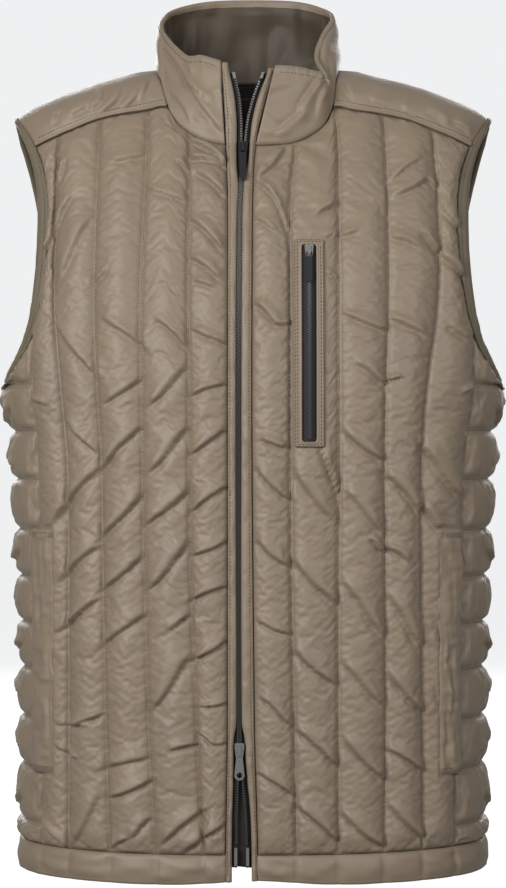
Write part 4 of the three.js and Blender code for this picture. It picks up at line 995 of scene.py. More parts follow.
def yoke_point(along, around, hand, level):
    """Yoke: along 0 at the neck to 1 at the armhole, around -1 at the front seam to 1 at the back seam.

    Each line from seam to seam is a quarter wave up to the ridge and one down, and the last one is drawn to
    the armhole's edge with the fourth power of along."""
    along, around, level = np.broadcast_arrays(along, around, level)
    angle = np.abs(around) * math.pi / 2

    def arch(share, side, top, ends):
        """Points from a seam to the ridge, without the armhole's edge."""
        seam_x = lerp(ends[0], ends[1], share)
        seam_z = curve(top, "z", "x", seam_x)
        ridge_x = lerp(YOKE_RIDGE[0], YOKE_RIDGE[1], share)
        fall = 1 - np.cos(angle)
        seam_y = side * depth(seam_z, side) * oval_rest(seam_x / half_width(seam_z))
        return np.stack([lerp(ridge_x, seam_x, fall), seam_y * np.sin(angle),
                         lerp(ridge_height(ridge_x), seam_z, fall)], axis=-1)

    halves = []
    for side, top, ends in ((-1, FRONT_TOP, YOKE_FRONT), (1, BACK_TOP, YOKE_BACK)):
        tip_z = curve(top, "z", "x", ends[1])
        tip_angle = math.acos((tip_z - ARMHOLE_Z) / (ARMHOLE_TOP + BINDING_RISE * PANEL_GROW))
        edge_y, edge_z = armhole(side * tip_angle * np.abs(around), PANEL_GROW)
        edge_x = half_width(edge_z) * oval_rest(np.abs(edge_y) / depth(edge_z, side)) - SEAM_GAP / 2
        miss = np.stack([edge_x, edge_y, edge_z], axis=-1) - arch(np.ones_like(along), side, top, ends)
        halves.append(arch(along, side, top, ends) + miss * (along**4)[..., None])
    point = np.where((around < 0)[..., None], halves[0], halves[1])
    return lifted(hand * point[..., 0], point[..., 1], point[..., 2], level)


# Creases of the yokes, by the photograph's pixels of the front half; the back half has them over the ridge
CREASES_YOKE = table(
    CREASE_COLUMNS,
    (74, 116, 86, 104, 1.1, 6), (94, 108, 104, 94, 1.4, 6), (106, 112, 120, 92, 1.5, 7),
    (126, 106, 140, 90, 1.3, 6), (140, 98, 150, 84, 1.2, 5), (52, 122, 60, 112, 1.0, 5),
    (346, 84, 352, 98, 1.2, 6), (372, 96, 384, 110, 0.9, 7), (402, 106, 414, 118, 0.9, 6),
    (430, 110, 444, 126, 1.0, 7), (455, 122, 468, 134, 0.9, 5),
)


def add_yoke(hand):
    """A plain shoulder yoke over thin wadding, with soft diagonal creases."""
    side = SIDE_NAME[hand]
    along, around = np.meshgrid(np.linspace(0, 1, YOKE_STEPS[0]),
                                np.linspace(-1, 1, YOKE_STEPS[1]), indexing="ij")
    edge = np.minimum(np.minimum(along, 1 - along) * YOKE_SIZE[0], (1 - np.abs(around)) * YOKE_SIZE[1])
    rise = YOKE_RISE * np.clip(edge / YOKE_EDGE, 0, 1) ** EDGE_POWER
    outer = yoke_point(along, around, hand, SEAM_LEVEL + rise)
    seen = np.stack([outer[..., 0], -np.abs(outer[..., 1]), outer[..., 2]], axis=-1)
    folds = crease_field(*picture_place(seen), CREASES_YOKE, PIXEL) * np.clip(edge / 8, 0, 1)
    uneven = fill_soft(31 + hand, along.shape, ((12, 14), (5, 6)), (0.25, 0.1)) * np.clip(edge / 10, 0, 1)
    outer = outer + normals_of(outer, outer * (1, 1, 0) + (0, 0, 80)) * (folds + uneven)[..., None]
    inner = yoke_point(along[::2, ::2], around[::2, ::2], hand, float(INNER_LEVEL))
    piece = shell(f"yoke_{side}_cloth", outer, with_allowance(inner), [taffeta, lining_cloth])
    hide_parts(f"yoke_{side}")


def rod(path, normal, radius, corners):
    """Rings round a path: circles that start on the side of the normal."""
    tangent = unit(np.gradient(path, axis=0))
    out = unit(normal - tangent * np.sum(normal * tangent, axis=-1, keepdims=True))
    across = np.cross(tangent, out)
    angle = 2 * math.pi * np.arange(corners) / corners
    return (path[:, None] + radius * np.cos(angle)[None, :, None] * out[:, None]
            + radius * np.sin(angle)[None, :, None] * across[:, None])


def add_piping(hand):
    """The thin piped cord in the front seam of a yoke, a little uneven."""
    side = SIDE_NAME[hand]
    x = np.linspace(YOKE_FRONT[0] + PIPING_INSET, YOKE_FRONT[1] - PIPING_INSET, 120)
    z = curve(FRONT_TOP, "z", "x", x) - SEAM_GAP / 2
    path = skin(hand * x, z, -1, PIPING_LEVEL + 0.12 * np.sin(x / 2.3) + 0.1 * np.sin(x / 5.1))
    rings = rod(path, outward(hand * x, path[:, 1], z), PIPING_RADIUS, 12)
    piece = tube(f"piping_{side}_cloth", rings, [taffeta])
    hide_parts(f"piping_{side}")


# Collar: where each station stands on the neckline, its upper edge, from right front round the back
COLLAR = (
    ("front", -23.5, -27.3, -76, -6), ("front", -41, -44, -68, 0), ("front", -55, -55, -57, 1),
    ("front", -65, -66, -42, 12), ("right", -0.95, -74, -25, 23), ("right", -0.5, -80, -6, 35),
    ("right", 0, -80, 16, 46), ("right", 0.9, -70, 40, 58), ("back", -44, -42, 61, 68),
    ("back", 0, 0, 70, 71),
    ("back", 44, 40, 61, 68), ("left", 0.9, 64, 40, 58), ("left", 0, 70, 14, 47), ("left", -0.5, 60, -14, 27),
    ("left", -0.95, 54, -42, 6), ("front", 63, 58, -72, -14), ("front", 52, 45, -79, -13),
    ("front", 33, 32, -82, -11.5), ("front", 3, 18.6, -83, -11),
)
COLLAR_STEPS = (300, 27)
COLLAR_HALF = 1.7
COLLAR_LEAST = 1.0
COLLAR_BULGE = 2.5
COLLAR_FRONT_LEVEL = -3.2
COLLAR_OTHER_LEVEL = -1.9
COLLAR_RISE = 0.4
COLLAR_INSET = 1.2
# How far the collar's seam allowance reaches down and inwards
COLLAR_ALLOWANCE = (3.5, 1.6)
COLLAR_CREASE_SHARE = 0.55
# Topstitching under the collar's edge: how far in, depth and width of its trough, and the roll of cloth above
# it with its height, place and width
TOPSTITCH_IN = 5.5
TOPSTITCH_TROUGH = (0.75, 1.1)
TOPSTITCH_ROLL = (0.5, 2.6, 1.8)


def spline(points, t):
    """A smooth curve through points: between two of them a cubic with slopes along their neighbours."""
    low, high = neighbours(len(points))
    slopes = (points[high] - points[low]) / (high - low)[:, None]
    last = len(points) - 1
    place = np.clip(t * last, 0, last)
    i = np.minimum(np.floor(place).astype(int), last - 1)
    return cubic((place - i)[:, None], 1, points[i], points[i + 1], slopes[i], slopes[i + 1])


def collar_feet():
    """The stations' places on the neckline, just above the fronts, the yokes and the back."""
    feet = []
    for on, at, _, _, _ in COLLAR:
        if on == "front":
            foot = skin(at, curve(FRONT_TOP, "z", "x", abs(at)), -1, COLLAR_FRONT_LEVEL)
        elif on == "back":
            foot = skin(at, curve(BACK_TOP, "z", "x", abs(at)), 1, COLLAR_OTHER_LEVEL)
        else:
            hand = -1 if on == "right" else 1
            foot = yoke_point(0.0, at, hand, COLLAR_OTHER_LEVEL) - (hand * COLLAR_INSET, 0, 0)
        feet.append(foot + (0, 0, COLLAR_RISE))
    return np.array(feet, float)


# Creases of the collar's outer face, by the photograph's pixels
CREASES_COLLAR = table(
    CREASE_COLUMNS,
    (166, 50, 188, 86, 2.0, 5), (188, 86, 219, 126, 1.8, 6), (188, 82, 210, 100, 1.7, 4),
    (210, 100, 226, 91, 1.2, 4), (184, 60, 190, 72, 1.5, 3), (172, 92, 186, 118, 1.2, 7),
    (196, 118, 222, 132, 1.0, 5), (319, 74, 300, 110, 2.6, 6), (300, 110, 280, 132, 2.4, 6),
    (264, 134, 288, 136, 1.6, 4), (268, 96, 290, 84, 1.0, 6), (326, 78, 318, 112, 1.2, 6),
    (262, 112, 280, 122, 1.1, 5),
)


def collar_rings():
    """Sections across the collar's cloth, from right front round the back: up outside and down inside.

    The middle of the cloth is a straight line from foot to edge, bulged out by a half wave."""
    t = np.linspace(0, 1, COLLAR_STEPS[0])
    feet = spline(collar_feet(), t)
    tops = spline(np.array([row[2:] for row in COLLAR], float), t)
    v = np.linspace(0, 1, COLLAR_STEPS[1])[None, :, None]
    middle = lerp(feet[:, None], tops[:, None], v)
    along = unit(np.gradient(middle, axis=0))
    up = unit(tops - feet)[:, None]
    out = unit(np.cross(up, along))
    if np.sum(out * (middle - middle.mean(axis=(0, 1))) * (1, 1, 0)) < 0:
        out = -out
    height = np.linalg.norm(tops - feet, axis=-1)[:, None]
    from_top = (1 - v[..., 0]) * height
    trough = TOPSTITCH_TROUGH[0] * np.exp(-((from_top - TOPSTITCH_IN) / TOPSTITCH_TROUGH[1]) ** 2)
    roll = TOPSTITCH_ROLL[0] * np.exp(-((from_top - TOPSTITCH_ROLL[1]) / TOPSTITCH_ROLL[2]) ** 2)
    stitched = roll - trough
    shape = middle.shape[:2]
    pucker = fill_soft(51, shape, ((3, 9),), (0.3,)) * np.exp(-((from_top - 5) / 5) ** 2)
    folds = COLLAR_CREASE_SHARE * crease_field(*picture_place(middle + out * 3), CREASES_COLLAR, PIXEL)
    folds = folds * np.where(out[..., 1] < 0.35, 1, 0) * np.clip(from_top / 8, 0, 1)
    soft = fill_soft(52, shape, ((26, 9), (10, 6)), (0.7, 0.3))
    inside_folds = -np.abs(fill_soft(53, shape, ((6, 40), (13, 30)), (2.4, 2.8)))
    inside_folds = inside_folds * np.clip(from_top / 12, 0.2, 1)
    bulge = COLLAR_BULGE * np.sin(math.pi * v[..., 0])
    taper = 1 - 0.35 * ease(0.9, 1, v[..., 0])
    hold = np.clip(v[..., 0] * 8, 0, 1)
    outer_level = bulge + COLLAR_HALF * taper + (stitched + pucker + folds + soft) * hold
    inner_soft = -stitched + pucker + 0.5 * folds + soft + inside_folds
    inner_level = bulge - COLLAR_HALF * taper + inner_soft * hold
    outer_level = np.maximum(outer_level, inner_level + COLLAR_LEAST)
    outer = middle + out * outer_level[..., None]
    inner = middle + out * inner_level[..., None]
    rim = (outer[:, -1:] + inner[:, -1:]) / 2 + up * 0.9
    allowance = inner[:, :1] - up * COLLAR_ALLOWANCE[0] - out[:, :1] * COLLAR_ALLOWANCE[1]
    return np.concatenate([allowance, outer, rim, inner[:, ::-1]], axis=1), outer, out


# How many steps the outer cloth turns down over the collar's edge on its inside
COLLAR_TURNED = 3


def add_collar():
    """The stand collar of shell cloth on both faces, its inside darkened by painted shade, topstitched under
    its edge.
    """
    rings, outer, out = collar_rings()
    # The faces inside the collar take the taffeta darkened by painted shade
    inside = np.arange(rings.shape[1]) > outer.shape[1] + COLLAR_TURNED
    piece = tube("collar_cloth", rings, [taffeta, collar_inside_painted_shade], side_slots=inside)
    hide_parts("collar")
    return outer, out


def body_round(turn, z, level):
    """On the body's oval at an angle round it, from the front middle by the right hand to the back."""
    def spread(value):
        """A sine or cosine as a share of the superellipse's half axis."""
        return np.sign(value) * np.abs(value) ** (2 / OVAL_POWER)

    y = -spread(np.cos(turn))
    return lifted(-half_width(z) * spread(np.sin(turn)), y * depth(z, y), z, level)


def turn_of(x, side):
    """The angle round the body's section at the hem of a sideways place, on the front or the back."""
    quarter = np.arcsin(np.minimum(np.abs(x) / half_width(HEM_Z), 1) ** (OVAL_POWER / 2))
    if side < 0:
        return np.where(x < 0, quarter, 2 * math.pi - quarter)
    return np.where(x < 0, math.pi - quarter, math.pi + quarter)


# How far the hem band's ends reach under the plackets, their level there, and the small angle of that step
HEM_TUCK = 1.6
TUCKED_LEVEL = -4.4
TUCK_STEP = 0.002
# Steps round a channel of the hem band and round its plain part below a side panel
HEM_CELLS = 14
HEM_SIDE_CELLS = 60


def hem_stations():
    """Angles round the hem and each one's place within its channel, dense enough for the quilting."""
    def front_turns(hand):
        """Angles of a front's lines, from the placket to the side seam."""
        lines = [hand * curve(ZIP, SIDE_NAME[hand], "z", HEM_Z) + SEAM_GAP / 2]
        lines += [curve(SEAMS[hand], line, "z", HEM_Z) for line in INNER_LINES + ("side",)]
        return turn_of(hand * np.array(lines, float), -1)

    share = 2 * np.arange(BACK_CHANNELS + 1) / BACK_CHANNELS - 1
    back_turns = turn_of(share * curve(SEAMS_BACK, "side", "z", HEM_Z), 1)
    right = front_turns(-1)
    left = front_turns(1)[::-1]
    turns = []
    shares = []
    stretches = (right, (right[-1], back_turns[0]), back_turns, (back_turns[-1], left[0]), left)
    for lines in stretches:
        count = HEM_CELLS if len(lines) > 2 else HEM_SIDE_CELLS
        for first, last in zip(lines[:-1], lines[1:]):
            steps = np.arange(count) / count
            turns.append(lerp(first, last, steps))
            shares.append(steps if len(lines) > 2 else np.full(count, 0.5))
    turns = np.concatenate(turns)
    shares = np.concatenate(shares)
    under = HEM_TUCK / half_width(HEM_Z)
    start = [turns[0] - under, turns[0] - TUCK_STEP]
    end = [left[-1] + TUCK_STEP, left[-1] + under]
    return np.concatenate([start, turns[1:], end]), np.concatenate([[0, 0], shares[1:], [0, 0]])


# The hem band's rise at a quilting line, what a channel adds to it, and where the edge cuts the swell off
HEM_SWELL = (1.0, 3.1)
HEM_EDGE = 0.93


def add_hem_band():
    """The band along the lower edge, with the quilting running over it, from placket to placket."""
    turn, share = hem_stations()
    rise = np.linspace(0, 1, 13)
    x = body_round(turn, np.full(turn.shape, float(HEM_Z)), 0.0)[:, 0]
    low = np.where(np.cos(turn) > 0, hem_z(x), HEM_Z)
    z = lerp(HEM_SEAM_Z, low[:, None], rise[None])
    swell = np.sin(math.pi * np.clip(rise, 0, HEM_EDGE)) ** 0.55
    soft = fill_soft(61, z.shape, ((9, 6), (4, 4)), (0.6, 0.4))
    puffed = HEM_SWELL[0] + HEM_SWELL[1] * np.sin(math.pi * share)[:, None] ** 0.45
    level = SEAM_LEVEL + swell * (puffed + soft)
    tucked = np.ones(turn.shape, bool)
    tucked[1:-1] = False
    level = np.where(tucked[:, None], TUCKED_LEVEL, level)
    outer = body_round(turn[:, None] + 0 * z, z, level)
    inner_z = z[:, ::-4]
    inner = body_round(turn[:, None] + 0 * inner_z, inner_z, np.full(inner_z.shape, float(INNER_LEVEL)))
    inside = np.arange(outer.shape[1] + inner.shape[1]) >= outer.shape[1]
    rings = np.concatenate([outer, inner], axis=1)
    piece = tube("hem_band_cloth", rings, [taffeta, lining_cloth], side_slots=inside)
    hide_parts("hem_band")


# A placket's levels inside, at its edges and on its crown, where its stitches lie across it, and its tops
PLACKET_LEVELS = (-3.8, -2.2, -0.6)
PLACKET_STITCHED = 0.26
PLACKET_TOP = {-1: -6.5, 1: -11.5}
# The height below which the plackets follow the lifted hem
HEM_FOLLOWED = -640


def add_placket(hand):
    """The narrow strip beside the zip, from hem to collar top: rounded edges and small level puckers."""
    side = SIDE_NAME[hand]
    z = np.linspace(PLACKET_TOP[hand], HEM_Z, 420)[:, None]
    share = np.linspace(0, 1, 9)[None]
    seam = curve(ZIP, side, "z", z) - hand * SEAM_GAP / 2
    x = lerp(seam, zip_edge(z, hand), share)
    z = z + (hem_z(x) - HEM_Z) * ease(HEM_FOLLOWED, HEM_Z, z)
    pucker = fill_soft(71 + hand, z.shape, ((7, 7), (3, 5)), (0.4, 0.3))
    crown = np.clip(np.sin(math.pi * share), 0, 1) ** 0.6
    stitched = -0.5 * np.exp(-((share - PLACKET_STITCHED) / 0.09) ** 2)
    level = PLACKET_LEVELS[1] + (PLACKET_LEVELS[2] - PLACKET_LEVELS[1] + 0.3 + pucker + stitched) * crown
    outer = front_line(x, z, level)
    inner = front_line(x[:, ::-4], z[:, ::-4], PLACKET_LEVELS[0] + 0 * x[:, ::-4])
    piece = tube(f"placket_{side}_cloth", np.concatenate([outer, inner], axis=1), [taffeta])
    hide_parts(f"placket_{side}")


def rounded(section):
    """A closed section with its corners cut off twice by quarters, which rounds them."""
    for _ in range(2):
        after = np.roll(section, -1, axis=0)
        cut = [0.75 * section + 0.25 * after, 0.25 * section + 0.75 * after]
        section = np.stack(cut, axis=1).reshape(-1, 2)
    return section


# Section of the armhole binding: how far out in its own widths, and the level. Its stitches lie this far out
BINDING_SECTION = (
    (0, -5.2), (0, -2.4), (0.4, -1.0), (0.95, -1.6), (1.07, -2.6), (1.07, -6.8), (0.7, -6.8),
)
BINDING_STITCHED = 0.78


def add_binding(hand):
    """The bound armhole edge: a folded strip all round, with a stitch trough and fine puckers."""
    side = SIDE_NAME[hand]
    section = rounded(np.array(BINDING_SECTION))
    angle = np.linspace(0, 2 * math.pi, 300, endpoint=False)[:, None]
    grow = section[None, :, 0] + 0 * angle
    y, z = armhole(angle, grow)
    ripple = fill_soft(81 + hand, y.shape, ((3, 20), (9, 20)), (0.16, 0.2)) * (section[None, :, 1] > -3)
    stitched = -0.4 * np.exp(-((grow - BINDING_STITCHED) / 0.08) ** 2) * (section[None, :, 1] > -3)
    piece = tube(f"armhole_binding_{side}_cloth", flank(y, z, hand, section[None, :, 1] + ripple + stitched),
                 [binding_taffeta], closed=True)
    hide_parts(f"armhole_binding_{side}")


LINING_HALF_WIDTH = 160
LINING_LEVELS = (-8.2, -7)


def add_lining():
    """The back's lining, which shows in the neck and in the open zip: smooth, with long upright folds."""
    share, down = np.meshgrid(np.linspace(-1, 1, 81), np.linspace(0, 1, 121), indexing="ij")
    out = np.abs(share) * LINING_HALF_WIDTH
    top = curve(BACK_TOP, "z", "x", out) - 12 - 0.12 * out
    z = lerp(top, HEM_SEAM_Z + 2, down**1.3)
    folds = fill_soft(91, z.shape, ((7, 60), (16, 40)), (0.5, 0.6)) * np.clip(down * 12, 0, 1)
    inside = skin(share * LINING_HALF_WIDTH, z, 1, LINING_LEVELS[0] - 0.4 - np.abs(folds))
    outside = skin(share * LINING_HALF_WIDTH, z, 1, np.full(z.shape, float(LINING_LEVELS[1])))
    piece = shell("lining_back_cloth", inside, outside[::2, ::2], [lining_cloth, lining_cloth])
    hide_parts("lining_back")


for hand in (-1, 1):
    add_yoke(hand)
    add_piping(hand)
    add_placket(hand)
    add_binding(hand)
collar_outer, collar_out = add_collar()
add_hem_band()
add_lining()


# Front zip

# Ends of the tape, how much of it shows beside the plackets and lies under them, and the levels of its faces.
# Then the teeth: their level, half of the gap between the rows, pitch, and size across, along and out
TAPE_TOP = -15
TAPE_END = -681
TAPE_SHOWN = 4.6
TAPE_HIDDEN = 5.5
TAPE_MARGIN = 1
TAPE_LEVELS = (-5.5, -4.3)
TEETH_LEVEL = -1.6
TEETH_HALF_GAP = 0.15
TOOTH_PITCH = 2.2
TOOTH_SIZE = (2.1, 1.15, 1.4)
# How far a tooth's middle lies from the edge of its tape, and where the rows begin and end
TOOTH_IN = 0.75
TEETH_SPAN = (-22, -664)


def teeth_line(z, hand):
    """Sideways place of a zip half's toothed edge."""
    gap = curve(ZIP, "gap", "z", z)
    return curve(ZIP, "middle", "z", z) + hand * np.maximum(gap - TAPE_SHOWN, TEETH_HALF_GAP)


def placed(shape, centres, first, second, third):
    """The same small shape at many places, each turned by its own three directions."""
    return (centres[:, None] + shape[None, :, :1] * first[:, None] + shape[None, :, 1:2] * second[:, None]
            + shape[None, :, 2:] * third[:, None])


# Size of a tooth's narrowed end beside its other end
TOOTH_WAIST = 0.7


def small_blocks(centres, across, along, out, size):
    """Many small blocks, each narrowed to one end and turned by its three directions: points and faces."""
    corners = np.array([(sx * (TOOTH_WAIST if sy else 1), sy, sz * (TOOTH_WAIST if sy else 1))
                        for sy in (0, 1) for sx, sz in ((-1, -1), (1, -1), (1, 1), (-1, 1))], float)
    corners[:, 1] = corners[:, 1] * 2 - 1
    corners *= np.array(size) / 2
    points = placed(corners, centres, across, along, out)
    faces = np.array([(0, 1, 2, 3), (7, 6, 5, 4), (0, 4, 5, 1), (1, 5, 6, 2), (2, 6, 7, 3), (3, 7, 4, 0)])
    if np.dot(np.cross(across[0], along[0]), out[0]) > 0:
        faces = faces[:, ::-1]
    return points, (np.arange(len(centres)) * 8)[:, None, None] + faces[None]


def add_tape(hand):
    """Half of the front zip's tape, with a cord at its edge, and its teeth in one mesh."""
    side = SIDE_NAME[hand]
    z = np.linspace(TAPE_TOP, TAPE_END, 420)
    inner = teeth_line(z, hand)
    edge = zip_edge(z, hand)
    seam = curve(ZIP, side, "z", z)
    hidden = np.minimum(TAPE_HIDDEN, np.abs(seam - edge) - TAPE_MARGIN)
    mid = (TAPE_LEVELS[1] + TEETH_LEVEL) / 2
    cord_top = TEETH_LEVEL - 0.7
    section = ((0.6, TAPE_LEVELS[0]), (0.3, mid), (0.9, cord_top), (1.6, mid), (2.1, TAPE_LEVELS[1]))
    places = [(inner + hand * a, level) for a, level in section]
    places += [(edge + hand * hidden, TAPE_LEVELS[1]), (edge + hand * hidden, TAPE_LEVELS[0])]
    rings = np.stack([front_line(x, z, np.full(z.shape, level)) for x, level in places], axis=1)
    piece = tube(f"zip_tape_{side}_cloth", rings, [zip_twill])
    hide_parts(f"zip_tape_{side}")
    start, end = TEETH_SPAN
    count = int((start - end) / TOOTH_PITCH)
    tooth_z = start - (np.arange(count) + (0.5 if hand > 0 else 0)) * TOOTH_PITCH
    tooth_x = teeth_line(tooth_z, hand)
    centre = front_line(tooth_x + hand * TOOTH_IN, tooth_z, np.full(count, TEETH_LEVEL - 0.5))
    tangent = unit(np.gradient(centre, axis=0))
    out = unit(front_line(tooth_x, tooth_z, np.full(count, 1.0))
               - front_line(tooth_x, tooth_z, np.full(count, 0.0)))
    points, faces = small_blocks(centre, np.cross(tangent, out), tangent, out, TOOTH_SIZE)
    teeth = add_piece(f"zip_teeth_{side}", points, [faces.reshape(-1, 4)], [oxidised_brass], flat=True)


# The strip's top, its end, how much lower it ends on the left, its reach under each tape and its levels
UNDERLAP_TOP = -594
UNDERLAP_END = -680
UNDERLAP_SLANT = 2
UNDERLAP_REACH = 3
UNDERLAP_LEVELS = (-7.4, -6.4)


def add_underlap():
    """The dark strip behind the open zip below its lower slider: a flat, softly folded grid, cut at a slant."""
    share, down = np.meshgrid(np.linspace(0, 1, 9), np.linspace(0, 1, 41), indexing="ij")
    z = lerp(UNDERLAP_TOP, UNDERLAP_END - UNDERLAP_SLANT * share, down)
    half = curve(ZIP, "gap", "z", z) + UNDERLAP_REACH
    x = curve(ZIP, "middle", "z", z) + half * (2 * share - 1)
    folds = np.abs(fill_soft(97, z.shape, ((3, 12), (4, 8)), (0.15, 0.15)))
    outer = front_line(x, z, UNDERLAP_LEVELS[1] - folds)
    inner = front_line(x, z, UNDERLAP_LEVELS[0] - folds)[::2, ::2]
    piece = shell("zip_underlap_cloth", outer, inner, [lining_cloth, lining_cloth])


# Sewing. A stitch is as wide as it is thick, full over a share of its length, and dips at its ends by a share
# of its half width. A quilting line is lifted off the cloth a little

STITCH_PITCH = 3.1
STITCH_LENGTH = 2.3
STITCH_WIDTH = 0.55
STITCH_FULL = 0.55
STITCH_DIP = 0.35
QUILTING_LIFT = 0.25


def points_along(path, length, at):
    """Points of a path at given lengths along it."""
    return np.stack([np.interp(at, length, path[:, k]) for k in range(3)], axis=-1)


def add_stitches(name, lines):
    """Sewing thread along lines: each line has its points and the directions out of the cloth there. A stitch
    is a short rod that narrows to both ends, where it goes into the cloth."""
    middle = [(p, q, r) for p in (-STITCH_FULL, STITCH_FULL) for q, r in ((-1, 0), (0, 1), (1, 0), (0, -1))]
    rod_shape = np.array([(-1, 0, -STITCH_DIP), *middle, (1, 0, -STITCH_DIP)])
    shape = rod_shape * (STITCH_LENGTH / 2, STITCH_WIDTH / 2, STITCH_WIDTH / 2)
    caps = [(0, 2, 1), (0, 3, 2), (0, 4, 3), (0, 1, 4), (9, 5, 6), (9, 6, 7), (9, 7, 8), (9, 8, 5)]
    sides = [(1, 2, 6, 5), (2, 3, 7, 6), (3, 4, 8, 7), (4, 1, 5, 8)]
    all_points = []
    triangles = []
    quads = []
    total = 0
    for path, out in lines:
        length = np.concatenate([[0], np.cumsum(np.linalg.norm(np.diff(path, axis=0), axis=-1))])
        at = np.arange(STITCH_PITCH / 2, length[-1] - STITCH_PITCH / 2, STITCH_PITCH)
        if not len(at):
            continue
        centre = points_along(path, length, at)
        along = unit(points_along(path, length, at + 0.6) - centre)
        normal = unit(points_along(out, length, at))
        points = placed(shape, centre, along, np.cross(along, normal), normal)
        first = total + np.arange(len(at))[:, None, None] * len(shape)
        all_points.append(points.reshape(-1, 3))
        triangles.append((first + np.array(caps)[None]).reshape(-1, 3))
        quads.append((first + np.array(sides)[None]).reshape(-1, 4))
        total += len(at) * len(shape)
    faces = [np.concatenate(triangles), np.concatenate(quads)]
    # The thread's darkness is partly painted shade of the sewn troughs
    piece = add_piece(name, np.concatenate(all_points), faces, [thread])


def quilting_lines(grid, axis, cells, channels):
    """The sewn lines between a fine grid's channels, lifted off it a little: points and directions out."""
    out = np.moveaxis(normals_of(grid, grid * (1, 1, 0)), axis, 0)
    points = np.moveaxis(grid, axis, 0)
    numbers = [2 * cells * k for k in range(1, channels)]
    return [(points[k] + out[k] * QUILTING_LIFT, out[k]) for k in numbers]


def add_quilting():
    """The sewn lines of all quilted panels, deep in their troughs."""
    for hand, grid in fronts.items():
        lines = quilting_lines(grid, 0, FRONT_CELLS, FRONT_CHANNELS)
        add_stitches(f"quilting_front_{SIDE_NAME[hand]}", lines)
    add_stitches("quilting_back", quilting_lines(back_surface, 0, BACK_CELLS, BACK_CHANNELS))
    for hand, grid in side_surfaces.items():
        lines = quilting_lines(grid, 1, SIDE_CELLS, len(SIDE_LINES))
        add_stitches(f"quilting_side_{SIDE_NAME[hand]}", lines)


# Where a yoke's topstitching lies from its ridge to its front seam
YOKE_STITCHED = -0.93


def add_topstitching():
    """Topstitching of the plackets, the collar, the yokes and the bindings."""
    for hand in (-1, 1):
        side = SIDE_NAME[hand]
        lines = []
        z = np.linspace(-14, HEM_Z + 6, 500)
        x = lerp(curve(ZIP, side, "z", z), zip_edge(z, hand), PLACKET_STITCHED)
        level = np.full(z.shape, PLACKET_LEVELS[2] - 0.05)
        path = front_line(x, z, level)
        lines.append((path, unit(front_line(x, z, level + 1) - path)))
        along = np.linspace(0.02, 0.97, 80)
        path = yoke_point(along, YOKE_STITCHED, hand, SEAM_LEVEL + 1.6)
        lines.append((path, unit(yoke_point(along, YOKE_STITCHED, hand, SEAM_LEVEL + 2.6) - path)))
        add_stitches(f"topstitching_{side}", lines)
        angle = np.linspace(0, 2 * math.pi, 300)
        y, z = armhole(angle, BINDING_STITCHED)
        path = flank(y, z, hand, np.full(y.shape, -1.75))
        out = unit(flank(y, z, hand, np.full(y.shape, 0.0)) - path)
        add_stitches(f"binding_stitches_{side}", [(path, out)])
    height = np.linalg.norm(collar_outer[:, -1] - collar_outer[:, 0], axis=-1)
    v = 1 - TOPSTITCH_IN / height
    place = v * (collar_outer.shape[1] - 1)
    low = np.floor(place).astype(int)
    f = (place - low)[:, None]
    rows = np.arange(len(collar_outer))
    path = lerp(collar_outer[rows, low], collar_outer[rows, low + 1], f)
    out = collar_out[rows, low]
    add_stitches("collar_stitches", [(path[3:-3] + out[3:-3] * 0.2, out[3:-3])])


# Chest pocket and hand pockets

POCKET_X = 46.2
POCKET_TOP = -162
POCKET_BOTTOM = -333.5
POCKET_HALF = 12.3
SLOT_HALF = 5.9
SLOT_INSET = 4.2
POCKET_LEVEL = 2.9
POCKET_STEPS = 240


def pocket_loop(half, inset, corner):
    """A rounded upright rectangle round the pocket's middle: sideways places and heights, once round."""
    top = POCKET_TOP - inset
    bottom = POCKET_BOTTOM + inset
    turn = np.linspace(0, math.pi / 2, 7)
    x = []
    z = []
    for k, (sx, sz) in enumerate(((1, 1), (-1, 1), (-1, -1), (1, -1))):
        centre_x = sx * (half - corner)
        centre_z = (top - corner) if sz > 0 else (bottom + corner)
        angle = turn + k * math.pi / 2
        x.append(centre_x + corner * np.cos(angle))
        z.append(centre_z + corner * np.sin(angle))
    x = np.concatenate(x + [x[0][:1]])
    z = np.concatenate(z + [z[0][:1]])
    length = np.concatenate([[0], np.cumsum(np.hypot(np.diff(x), np.diff(z)))])
    at = np.linspace(0, length[-1], POCKET_STEPS, endpoint=False)
    return POCKET_X + np.interp(at, length, x), np.interp(at, length, z)


# Section of the pocket's frame, from its outer edge (0) to the slot (1), with its level
FRAME_SECTION = (
    (0.0, 0.0), (0.0, 1.1), (0.12, 1.6), (0.3, 1.35), (0.36, 1.15), (0.42, 1.45), (0.55, 1.7), (0.6, 1.3),
    (0.7, 2.1), (0.85, 2.3), (0.97, 1.9), (1.0, 1.2), (1.0, 0.0),
)
FRAME_STITCHED = (0.1, 0.42)


def frame_loop(share, corner):
    """A line round the pocket's frame, at a share of the way from its outer edge to the slot."""
    return pocket_loop(lerp(POCKET_HALF, SLOT_HALF, share), lerp(0, SLOT_INSET, share), corner)


def add_pocket_frame():
    """The chest pocket's stitched frame: a flat folded strip with two rounded lips beside the zip."""
    rings = []
    for share, level in FRAME_SECTION:
        x, z = frame_loop(share, lerp(1.2, 2.2, share))
        soft = fill_soft(int(101 + 10 * share), (len(x), 1), ((6, 1),), (0.08,))[:, 0] if level > 0 else 0
        rings.append(skin(x, z, -1, POCKET_LEVEL + level + soft))
    piece = tube("pocket_frame_cloth", np.stack(rings, axis=1), [taffeta], closed=True)
    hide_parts("pocket_frame")
    lines = []
    for share in FRAME_STITCHED:
        x, z = frame_loop(share, 1.4)
        path = skin(x, z, -1, POCKET_LEVEL + 1.75)
        path = np.concatenate([path, path[:1]])
        lines.append((path, outward(path[:, 0], path[:, 1], path[:, 2])))
    add_stitches("pocket_stitches", lines)


